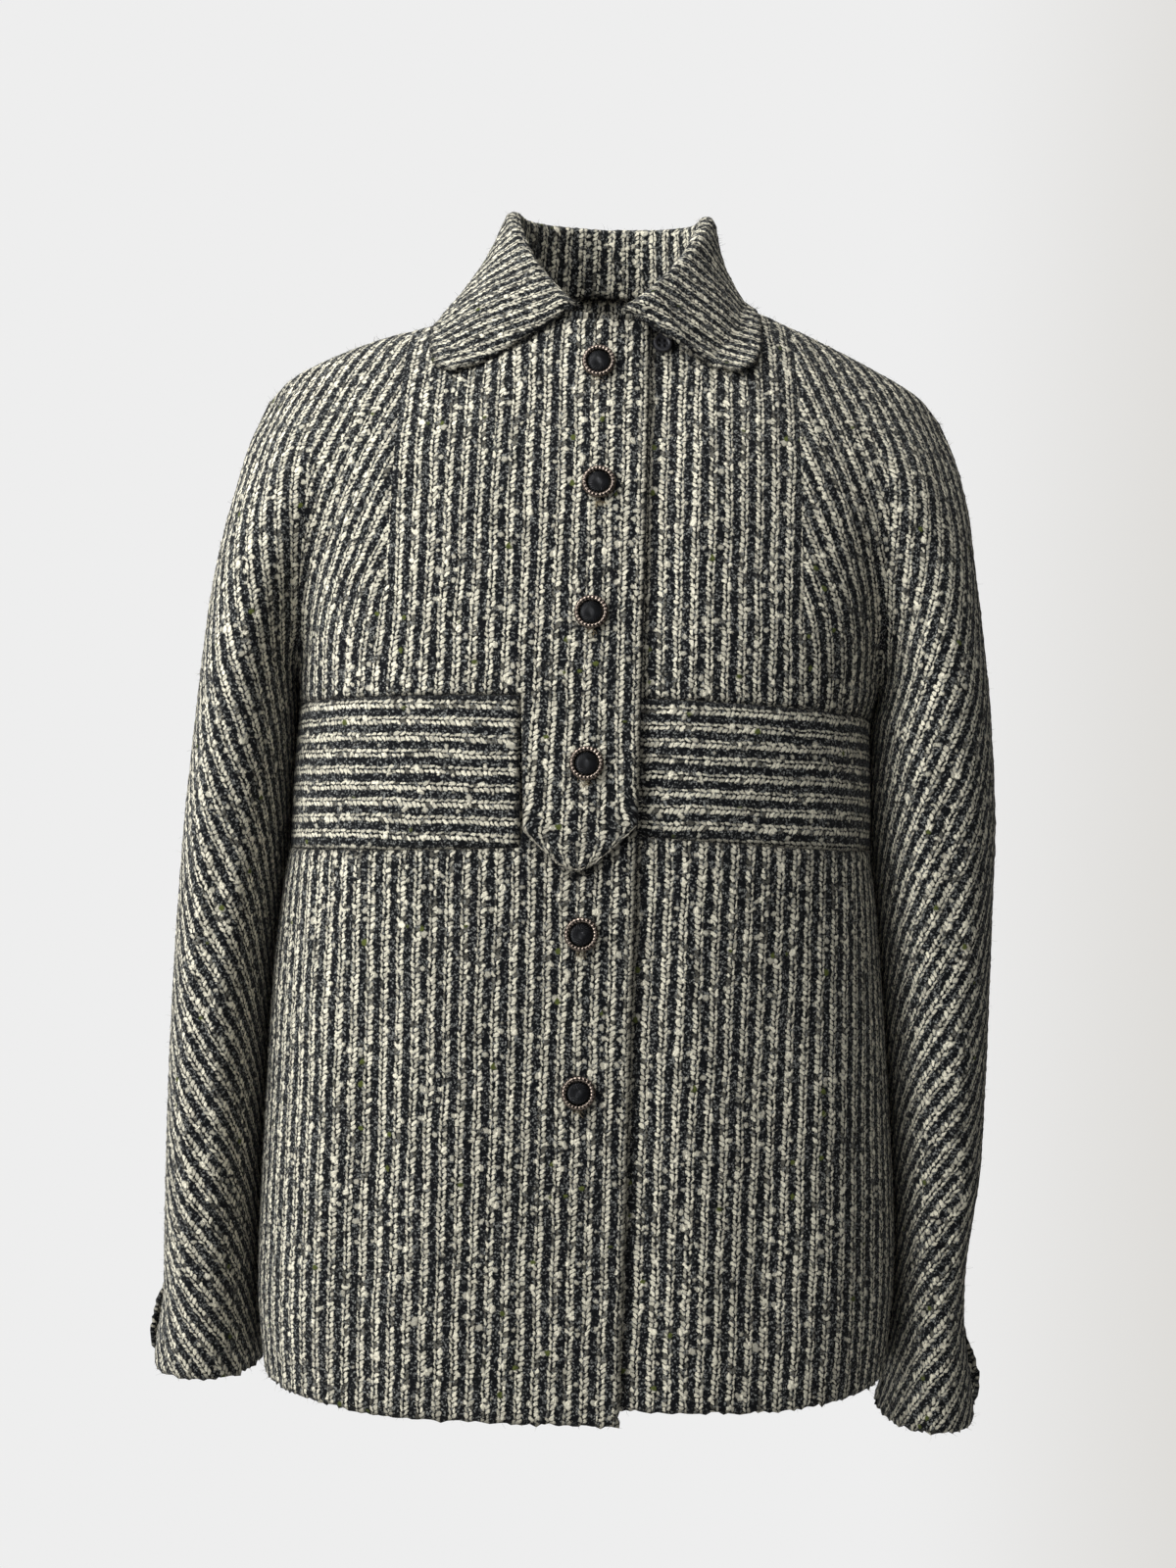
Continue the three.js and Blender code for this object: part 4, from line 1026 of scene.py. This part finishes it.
def boucle_group():
    """Columns of cream beads in pairs, one bold and one thin, with a mottled dark band between."""
    group = bpy.data.node_groups.new("boucle weave", "ShaderNodeTree")
    group.interface.new_socket("Place", in_out="INPUT", socket_type="NodeSocketVector")
    group.interface.new_socket("Cream", in_out="INPUT", socket_type="NodeSocketColor")
    group.interface.new_socket("Charcoal", in_out="INPUT", socket_type="NodeSocketColor")
    group.interface.new_socket("Color", in_out="OUTPUT", socket_type="NodeSocketColor")
    group.interface.new_socket("Height", in_out="OUTPUT", socket_type="NodeSocketFloat")
    group.interface.new_socket("Roughness", in_out="OUTPUT", socket_type="NodeSocketFloat")
    wires = Wires(group)
    given = wires.node("NodeGroupInput").outputs
    shaken = given["Place"]
    for scale, reach in ((0.03, (3.0, 4.0, 0)), (0.26, (2.4, 3.0, 0)), (1.1, (1.6, 1.6, 0))):
        wave = wires.node("ShaderNodeTexNoise", {"Vector": given["Place"], "Scale": scale, "Detail": 2.0})
        shift = wires.node("ShaderNodeVectorMath", operation="MULTIPLY_ADD")
        wires.put(shift.inputs[0], wires.centred(wave.outputs["Color"]))
        wires.put(shift.inputs[1], reach)
        wires.put(shift.inputs[2], shaken)
        shaken = shift.outputs[0]
    parts = wires.node("ShaderNodeSeparateXYZ", {0: shaken}).outputs
    repeats = wires.math("DIVIDE", parts[0], REPEAT)
    repeat = wires.math("FLOOR", repeats)
    in_repeat = wires.math("MULTIPLY", wires.math("FRACT", repeats), REPEAT)
    thin = wires.math("GREATER_THAN", in_repeat, THIN_FROM)
    dark = wires.math("GREATER_THAN", in_repeat, DARK_FROM)
    middle = wires.math("MULTIPLY_ADD", thin, THIN_MIDDLE - BOLD_MIDDLE, BOLD_MIDDLE)
    x = wires.math("SUBTRACT", in_repeat, middle)
    column = wires.math("MULTIPLY_ADD", repeat, 2.0, thin)
    column_chance = wires.chance(column, 3.5)
    bead_length = wires.math("MULTIPLY_ADD", thin, THIN_BEAD - BOLD_BEAD, BOLD_BEAD)
    along = wires.math("DIVIDE", parts[1], bead_length)
    along = wires.math("ADD", along, column_chance[0])
    slant = wires.math("MULTIPLY_ADD", thin, 0.4, -0.2)
    along = wires.math("MULTIPLY_ADD", slant, x, along)
    bead_number = wires.math("FLOOR", along)
    y = wires.math("SUBTRACT", wires.math("FRACT", along), 0.5)
    bead_chance = wires.chance(column, bead_number)
    width = wires.math("MULTIPLY_ADD", bead_chance[0], 1.0, 0.95)
    width = wires.math("MULTIPLY", width, wires.math("MULTIPLY_ADD", thin, -0.34, 1.0))
    x_part = wires.math("POWER", wires.math("ABSOLUTE", wires.math("DIVIDE", x, width)), 2.0)
    y_part = wires.math("POWER", wires.math("ABSOLUTE", wires.math("DIVIDE", y, 0.5)), 2.4)
    radius = wires.math("SQRT", wires.math("ADD", x_part, y_part))
    bead = wires.step(radius, 1.06, 0.66)
    bead = wires.math("MULTIPLY", bead, wires.math("SUBTRACT", 1.0, dark))

    def scatter(scale, share, size):
        """Round spots of a size in a share of random cells."""
        cells = wires.node("ShaderNodeTexVoronoi", {"Vector": shaken, "Scale": scale})
        picked = wires.node("ShaderNodeSeparateColor", {"Color": cells.outputs["Color"]}).outputs
        spot = wires.step(cells.outputs["Distance"], size * scale, size * scale * 0.6)
        return wires.math("MULTIPLY", spot, wires.math("LESS_THAN", picked[0], share))

    # Fine grey flecks, cream nubs, black slubs and a few olive ones.
    specks = wires.node("ShaderNodeTexVoronoi", {"Vector": shaken, "Scale": 0.85})
    speck_chance = wires.node("ShaderNodeSeparateColor", {"Color": specks.outputs["Color"]}).outputs
    fleck = wires.step(specks.outputs["Distance"], 0.6, 0.3)
    fleck = wires.math("MULTIPLY", fleck, wires.step(speck_chance[0], 0.25, 0.85))
    nub = wires.math("MAXIMUM", scatter(0.2, 0.36, 1.7), scatter(0.14, 0.2, 2.3))
    slub = scatter(0.16, 0.28, 1.9)
    olive = scatter(0.12, 0.06, 2.0)
    fibre = wires.node("ShaderNodeTexNoise", {"Vector": given["Place"], "Scale": 1.7, "Detail": 3.0})
    fuzz = fibre.outputs["Fac"]
    patches = wires.node("ShaderNodeTexNoise", {"Vector": given["Place"], "Scale": 0.07, "Detail": 2.0})
    worn = wires.step(patches.outputs["Fac"], 0.34, 0.66)

    lost = wires.math("LESS_THAN", bead_chance[2], wires.math("MULTIPLY_ADD", worn, -0.16, 0.2))
    shade = wires.math("MULTIPLY_ADD", bead_chance[1], 0.5, 0.5)
    shade = wires.math("MULTIPLY", shade, wires.math("MULTIPLY_ADD", thin, -0.14, 1.0))
    cream = wires.blend(1.0, given["Cream"], shade, "MULTIPLY")
    color = wires.blend(fleck, given["Charcoal"], rgb(156, 158, 154))
    bead_shown = wires.math("MULTIPLY", bead, wires.math("MULTIPLY_ADD", lost, -0.8, 1.0))
    color = wires.blend(bead_shown, color, cream)
    color = wires.blend(wires.math("MULTIPLY", slub, 0.85), color, given["Charcoal"])
    nub_shown = wires.math("MULTIPLY", nub, wires.math("MULTIPLY_ADD", dark, -0.45, 1.0))
    color = wires.blend(nub_shown, color, given["Cream"])
    # Painted shade: everything but beads and nubs is darkened to 0.7 of its colour, as if in hollows.
    painted_hollow_shade = wires.math("MULTIPLY_ADD", wires.math("MAXIMUM", bead_shown, nub_shown), 0.3, 0.7)
    color = wires.blend(1.0, color, painted_hollow_shade, "MULTIPLY")
    color = wires.blend(olive, color, rgb(84, 92, 44))
    speckle = wires.math("MULTIPLY_ADD", fuzz, 1.3, 0.36)
    color = wires.blend(1.0, color, speckle, "MULTIPLY")

    height = wires.math("MULTIPLY_ADD", bead_shown, 0.6, 0.2)
    height = wires.math("MULTIPLY_ADD", fleck, 0.25, height)
    height = wires.math("MULTIPLY_ADD", nub_shown, 0.6, height)
    height = wires.math("MULTIPLY_ADD", olive, 0.4, height)
    height = wires.math("MULTIPLY_ADD", fuzz, 0.45, height)
    sheen = wires.math("MULTIPLY_ADD", fuzz, 0.12, 0.82)
    given_out = wires.node("NodeGroupOutput").inputs
    wires.put(given_out["Color"], color)
    wires.put(given_out["Height"], height)
    wires.put(given_out["Roughness"], sheen)
    return group


def new_material(name):
    made = bpy.data.materials.new(name)
    made.use_nodes = True
    shader = made.node_tree.nodes["Principled BSDF"]
    return made, Wires(made.node_tree), shader


def boucle_material(weave):
    made, wires, shader = new_material("boucle")
    flat = wires.node("ShaderNodeUVMap", uv_map="cloth")
    cloth = wires.node("ShaderNodeGroup", node_tree=weave)
    wires.put(cloth.inputs["Place"], flat.outputs["UV"])
    wires.put(cloth.inputs["Cream"], rgb(242, 236, 214))
    wires.put(cloth.inputs["Charcoal"], rgb(12, 15, 19))
    # Painted shade: the 'edge' layer darkens the colour at edges and seams, under the tab and beside the
    # lap.
    edge = wires.node("ShaderNodeAttribute", attribute_name="edge").outputs["Fac"]
    shade = wires.math("MULTIPLY_ADD", edge, -0.6, 1.0)
    color = wires.blend(1.0, cloth.outputs["Color"], shade, "MULTIPLY")
    bump = wires.node("ShaderNodeBump", {"Height": cloth.outputs["Height"]})
    bump.inputs["Strength"].default_value = 0.8
    bump.inputs["Distance"].default_value = 0.0016
    wires.put(shader.inputs["Base Color"], color)
    wires.put(shader.inputs["Roughness"], cloth.outputs["Roughness"])
    wires.put(shader.inputs["Normal"], bump.outputs["Normal"])
    shader.inputs["Sheen Weight"].default_value = 0.07
    shader.inputs["Sheen Roughness"].default_value = 0.5
    shader.inputs["Specular IOR Level"].default_value = 0.1
    return made


def metal_material():
    made, wires, shader = new_material("button rim metal")
    place_in = wires.node("ShaderNodeTexCoord").outputs["Object"]
    grain = wires.node("ShaderNodeTexNoise", {"Vector": place_in, "Scale": 420.0, "Detail": 4.0})
    tone = wires.blend(grain.outputs["Fac"], rgb(50, 43, 38), rgb(146, 133, 122))
    wires.put(shader.inputs["Base Color"], tone)
    wires.put(shader.inputs["Roughness"], wires.math("MULTIPLY_ADD", grain.outputs["Fac"], 0.2, 0.14))
    shader.inputs["Metallic"].default_value = 1
    return made


def dull_material(name, color, roughness):
    """Pressed plastic or horn: one tone with fine scratches."""
    made, wires, shader = new_material(name)
    place_in = wires.node("ShaderNodeTexCoord").outputs["Object"]
    grain = wires.node("ShaderNodeTexNoise", {"Vector": place_in, "Scale": 900.0, "Detail": 3.0})
    lighter = tuple(min(channel * 1.9 + 0.006, 1) for channel in color[:3]) + (1,)
    wires.put(shader.inputs["Base Color"], wires.blend(grain.outputs["Fac"], color, lighter))
    wires.put(shader.inputs["Roughness"], wires.math("MULTIPLY_ADD", grain.outputs["Fac"], 0.2, roughness))
    bump = wires.node("ShaderNodeBump", {"Height": grain.outputs["Fac"]})
    bump.inputs["Strength"].default_value = 0.25
    bump.inputs["Distance"].default_value = 0.0002
    wires.put(shader.inputs["Normal"], bump.outputs["Normal"])
    shader.inputs["Specular IOR Level"].default_value = 0.4
    return made


def seat_on(half, out, z, lift_of, radius, raise_by=0):
    """Frame of a button's seat on a front: its foot and the outward direction."""

    def at(dx, dz):
        x, height = np.array(float(out + dx)), np.array(float(z + dz))
        return place(half, "front", x, height, depth_at(half, "front", x, height), lift_of(x, height))

    return seat_frame(at, np.array([0, -1, 0]), radius, raise_by)


def seat_frame(at, outward, radius, raise_by):
    side = at(radius, 0) - at(-radius, 0)
    up = at(0, radius) - at(0, -radius)
    normal = np.cross(side, up)
    normal *= np.sign(normal @ outward)
    normal /= np.linalg.norm(normal)
    up /= np.linalg.norm(up)
    side = np.cross(up, normal)
    foot = at(0, 0) + normal * (SEAT + raise_by)
    rows = [[*row, value] for row, value in zip(np.stack([side, up, normal], 1), foot)]
    return Matrix([*rows, [0, 0, 0, 1]])


def turned_piece(name, seat, around, profile_steps, shape, material):
    """A grid wrapped round an axis over a CAD node: shape(turn, share) gives radius and height."""
    bm = bmesh.new()
    made = bmesh.ops.create_grid(bm, x_segments=around, y_segments=profile_steps, size=0.5)["verts"]
    for vert in made:
        turn = (vert.co.x + 0.5) * math.tau
        far, high = shape(turn, vert.co.y + 0.5)
        vert.co = seat @ Vector((far * math.cos(turn), far * math.sin(turn), high))
        vert.co *= MM
    bmesh.ops.remove_doubles(bm, verts=made, dist=0.000004)
    bmesh.ops.recalc_face_normals(bm, faces=bm.faces)
    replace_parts(finish_piece(name + "_shown", bm, material), name)


def rope_rim(name, seat, radius, tube, high, flutes, material):
    def shape(turn, share):
        bend = share * math.tau
        rope = 1 + ROPE_DEPTH * math.cos(flutes * turn + ROPE_TWIST * math.sin(bend))
        far = radius - tube / 2 + tube / 2 * 0.97 * math.cos(bend) * rope
        return far, high / 2 + high / 2 * 0.97 * math.sin(bend) * rope

    turned_piece(name, seat, 216, 18, shape, material)


def fluted_face(name, seat, radius, high, flutes, material):
    def shape(turn, share):
        if share < BACK_SHARE:
            return radius * share / BACK_SHARE, 0
        along = (share - BACK_SHARE) / (1 - BACK_SHARE)
        far = radius * math.cos(along * math.pi / 2) ** 0.8
        dome = high * (0.35 + 0.65 * math.sin(along * math.pi / 2))
        swirl = math.cos(flutes * (turn + 0.9 * far / radius))
        depth = FLUTE_DEPTH * smooth(0.12, 0.5, far / radius) * smooth(1.0, 0.92, far / radius)
        return far, dome + float(depth) * swirl

    turned_piece(name, seat, 168, 22, shape, material)


class Strands:
    """Thin loose fibres: three-sided strands from a foot, along a way, each bent a little."""

    CORNERS = (0, 2.09, 4.19)

    def __init__(self, seed):
        self.rng = np.random.default_rng(seed)
        self.verts = []
        self.faces = []

    def add(self, foot, way, length, radius, bend):
        way = way / np.linalg.norm(way)
        side = np.cross(way, self.rng.normal(size=3))
        side /= np.linalg.norm(side)
        other = np.cross(way, side)
        curl = side * bend * length
        first = len(self.verts)
        for share in (0, 0.5, 1):
            middle = foot + way * length * share + curl * share * share
            thick = radius * (1 - 0.7 * share)
            for turn in self.CORNERS:
                spoke = side * math.cos(turn) + other * math.sin(turn)
                self.verts.append((middle + spoke * thick) * MM)
        for ring in (first, first + 3):
            for k in range(3):
                after = (k + 1) % 3
                self.faces.append((ring + k, ring + after, ring + 3 + after, ring + 3 + k))
        self.faces.append((first + 6, first + 7, first + 8))

    def finish(self, name, material):
        """The strands as one object."""
        mesh = bpy.data.meshes.new(name)
        mesh.from_pydata([tuple(vert) for vert in self.verts], [], self.faces)
        mesh.materials.append(material)
        piece = bpy.data.objects.new(name, mesh)
        bpy.context.scene.collection.objects.link(piece)
        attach(piece, "root")


def loose_fibres(name, seed, pieces, share, material):
    """Fibres that stand off the cloth, most of them along its edges, and few along its seams."""
    strands = Strands(seed)
    rng = strands.rng
    for piece in pieces:
        mesh = piece.data
        count = len(mesh.vertices)
        places = np.empty(count * 3)
        normals = np.empty(count * 3)
        edge = np.empty(count)
        mesh.vertices.foreach_get("co", places)
        mesh.vertices.foreach_get("normal", normals)
        # The 'edge' layer is painted shade; here it only weights where the fibres grow.
        mesh.attributes["edge"].data.foreach_get("value", edge)
        places = places.reshape(-1, 3) / MM
        normals = normals.reshape(-1, 3)
        weight = 0.25 + 3 * edge
        weight[np.abs(places[:, 1] - SEAM_Y) < 3] = 0.25
        chosen = rng.choice(count, int(count * share), p=weight / weight.sum())
        for index in chosen:
            way = normals[index] + rng.normal(0, 0.75, 3)
            if way @ normals[index] < 0.15:
                way += normals[index]
            length = rng.uniform(1.4, 4.2)
            strands.add(places[index] - normals[index] * 0.3, way, length, 0.085, rng.uniform(0.1, 0.7))
    strands.finish(name, material)


def tab_edging(material):
    """The turned yarn that shows along the tab's rounded end."""
    strands = Strands(9)
    rng = strands.rng
    for first in np.arange(PANEL_START["right"] + 1, TAB_LEFT_LOW - 1, 1.3):
        if rng.random() < 0.3:
            continue
        outs = first + np.array([0, 2.6])
        z = tab_bottom(outs) + 1.2 + rng.normal(0, 0.35, 2)
        depth = body_depth("right", "front", outs, z) + lift_at(z) + TAB_PUFF
        ends = place("right", "front", outs, z, depth)
        way = ends[1] - ends[0]
        strands.add(ends[0], way, np.linalg.norm(way), rng.uniform(0.25, 0.5), 0.15)
    strands.finish("tab_edging", material)


def buttonhole_ends(material):
    """The frayed end of each buttonhole, which shows below its button."""
    strands = Strands(5)
    rng = strands.rng
    for x, z in BUTTONS:
        for _ in range(34):
            out = -x + rng.normal(0, 1.5)
            low = z - RIM_RADIUS - rng.uniform(-2.2, 2.0)
            lift = lift_at(low) if z > BAND_LOW["right"][0] else 0
            depth = float(depth_at("right", "front", np.array(out), np.array(low)))
            foot = place("right", "front", out, low, depth, float(lift) - 0.2)
            way = np.array([rng.normal(0, 0.7), -0.35, -0.8 + rng.normal(0, 0.5)])
            strands.add(foot, way, rng.uniform(1.5, 3.8), 0.18, rng.uniform(0.2, 0.8))
    strands.finish("buttonhole_ends", material)


def build_buttons(metal, black):
    for index, (x, z) in enumerate(BUTTONS):
        on_tab = z > BAND_LOW["right"][0]
        lift = (lambda out, height: lift_at(height)) if on_tab else (lambda out, height: 0)
        seat = seat_on("right", -x, z, lift, RIM_RADIUS)
        rim, face = f"button_rim_{index + 1}", f"button_face_{index + 1}"
        rope_rim(rim, seat, RIM_RADIUS, RIM_TUBE, RIM_HIGH, RIM_FLUTES, metal)
        fluted_face(face, seat, FACE_RADIUS, FACE_HIGH, FACE_FLUTES, black)
    for half in SIDE:
        level = CUFF_Z[half] + CUFF_BUTTON_UP

        def at(back, up):
            depth = np.array(float(CUFF_BUTTON_BACK + back))
            z = level + up
            turn = round_off(depth / SLEEVE.read("back", z), SLEEVE_ROUND)
            out = mix(SLEEVE.read(half, z), OUTLINE.read(half, z), 0.5 + turn / 2)
            return place(half, "back", out + cuff_flare(half, depth, z), z, depth)

        seat = seat_frame(at, np.array([SIDE[half], 0, 0]), CUFF_RIM_RADIUS, CUFF_BUTTON_RAISE[half])
        rim, face = f"{half}_cuff_button_rim", f"{half}_cuff_button_face"
        rope_rim(rim, seat, CUFF_RIM_RADIUS, CUFF_RIM_TUBE, CUFF_RIM_HIGH, CUFF_RIM_FLUTES, metal)
        fluted_face(face, seat, CUFF_FACE_RADIUS, CUFF_RIM_HIGH, CUFF_FACE_FLUTES, black)


def neck_button(horn):
    """A small plain button with a raised rim and four holes."""
    radius = NECK_BUTTON_RADIUS
    lap = lambda out, z: under_lap("left", out)
    seat = seat_on("left", *NECK_BUTTON, lap, radius, NECK_BUTTON_RAISE)

    def shape(turn, share):
        if share < 0.15:
            return radius * share / 0.15, 0
        along = (share - 0.15) / 0.85
        far = radius * (1 - along**1.2)
        edge = NECK_BUTTON_HIGH * smooth(0, 0.12, along)
        dish = NECK_BUTTON_DISH * smooth(0.35, 0.5, along)
        x, y = far * math.cos(turn), far * math.sin(turn)
        hole = min(math.hypot(abs(x) - HOLE_OUT, abs(y) - HOLE_OUT) / HOLE_RADIUS, 1)
        return far, float(edge - dish - HOLE_DEEP * (1 - hole**4))

    turned_piece("neck_button", seat, 96, 40, shape, horn)


def camera():
    data = bpy.data.cameras.new("camera")
    data.lens = LENS
    data.sensor_fit = "VERTICAL"
    data.sensor_height = 36
    made = bpy.data.objects.new("camera", data)
    bpy.context.scene.collection.objects.link(made)
    turn = Matrix.Rotation(math.radians(90), 4, "X") @ Matrix.Rotation(math.radians(CAMERA_ROLL), 4, "Z")
    made.matrix_world = Matrix.Translation(CAMERA_AT) @ turn
    bpy.context.scene.camera = made


def area_light(name, place_at, aim, size, power):
    data = bpy.data.lights.new(name, "AREA")
    data.size = size
    data.energy = power
    made = bpy.data.objects.new(name, data)
    bpy.context.scene.collection.objects.link(made)
    made.location = place_at
    made.rotation_euler = (Vector(aim) - Vector(place_at)).to_track_quat("-Z", "Y").to_euler()


def surroundings():
    """A pale wall behind, painted darker on the side away from the window, a large soft window high on one
    side, and little light from elsewhere.
    """
    world = bpy.data.worlds.new("pale room")
    world.use_nodes = True
    wires = Wires(world.node_tree)
    around = world.node_tree.nodes["Background"]
    seen = wires.node("ShaderNodeLightPath").outputs["Is Camera Ray"]
    direction = wires.node("ShaderNodeTexCoord").outputs["Generated"]
    way = wires.node("ShaderNodeSeparateXYZ", {0: direction}).outputs
    # Painted shade on the wall seen behind: darker towards the side away from the window.
    wall = wires.blend(wires.step(way[0], 0.12, 0.3), rgb(238, 238, 238), rgb(219, 217, 213))
    wires.put(around.inputs["Color"], wires.blend(seen, rgb(226, 227, 230), wall))
    given = wires.math("MULTIPLY_ADD", wires.step(way[0], -0.8, 0.7), AMBIENT[1] - AMBIENT[0], AMBIENT[0])
    strength = wires.math("MULTIPLY_ADD", seen, wires.math("SUBTRACT", 1.0, given), given)
    wires.put(around.inputs["Strength"], strength)
    bpy.context.scene.world = world
    bpy.context.scene.view_settings.view_transform = "Standard"
    for name, light in LIGHTS.items():
        area_light(name, *light)
    bm = bmesh.new()
    bmesh.ops.create_circle(bm, cap_ends=True, segments=96, radius=1.5)
    mesh = bpy.data.meshes.new("floor")
    bm.to_mesh(mesh)
    bm.free()
    mesh.transform(Matrix.Translation((0, 0, FLOOR_Z)))
    floor = bpy.data.objects.new("floor", mesh)
    bpy.context.scene.collection.objects.link(floor)
    pale, _, shader = new_material("pale floor")
    shader.inputs["Base Color"].default_value = rgb(232, 232, 230)
    shader.inputs["Roughness"].default_value = 0.9
    mesh.materials.append(pale)


camera()
surroundings()
boucle = boucle_material(boucle_group())
made = []
for half in ("right", "left"):
    pieces = {
        "front_upper": (front_upper_grids(half), "front", "stretched"),
        "front_band": (front_band_grids(half), "front", "stretched"),
        "front_lower": (front_lower_grids(half), "front", "hung"),
        "back": (back_grids(half), "back", "hung"),
    }
    for kind, (grids, face, held) in pieces.items():
        made.append(cloth_piece(f"{half}_{kind}", grids, half, face, boucle))
made.append(cloth_piece("collar", collar_grids(), None, None, boucle))
build_buttons(metal_material(), dull_material("button face", rgb(18, 19, 22), 0.22))
neck_button(dull_material("horn", rgb(26, 26, 29), 0.34))
pale_wool = dull_material("pale wool", rgb(150, 146, 134), 0.8)
dark_wool = dull_material("dark wool", rgb(24, 26, 30), 0.8)
loose_fibres("pale_fibres", 11, made, 0.042, pale_wool)
loose_fibres("dark_fibres_everywhere", 22, made, 0.02, dark_wool)
loose_fibres("dark_fibres", 11, made[-1:], 0.09, dark_wool)
tab_edging(dull_material("turned yarn", rgb(128, 124, 112), 0.8))
buttonhole_ends(dull_material("buttonhole thread", rgb(128, 116, 92), 0.8))
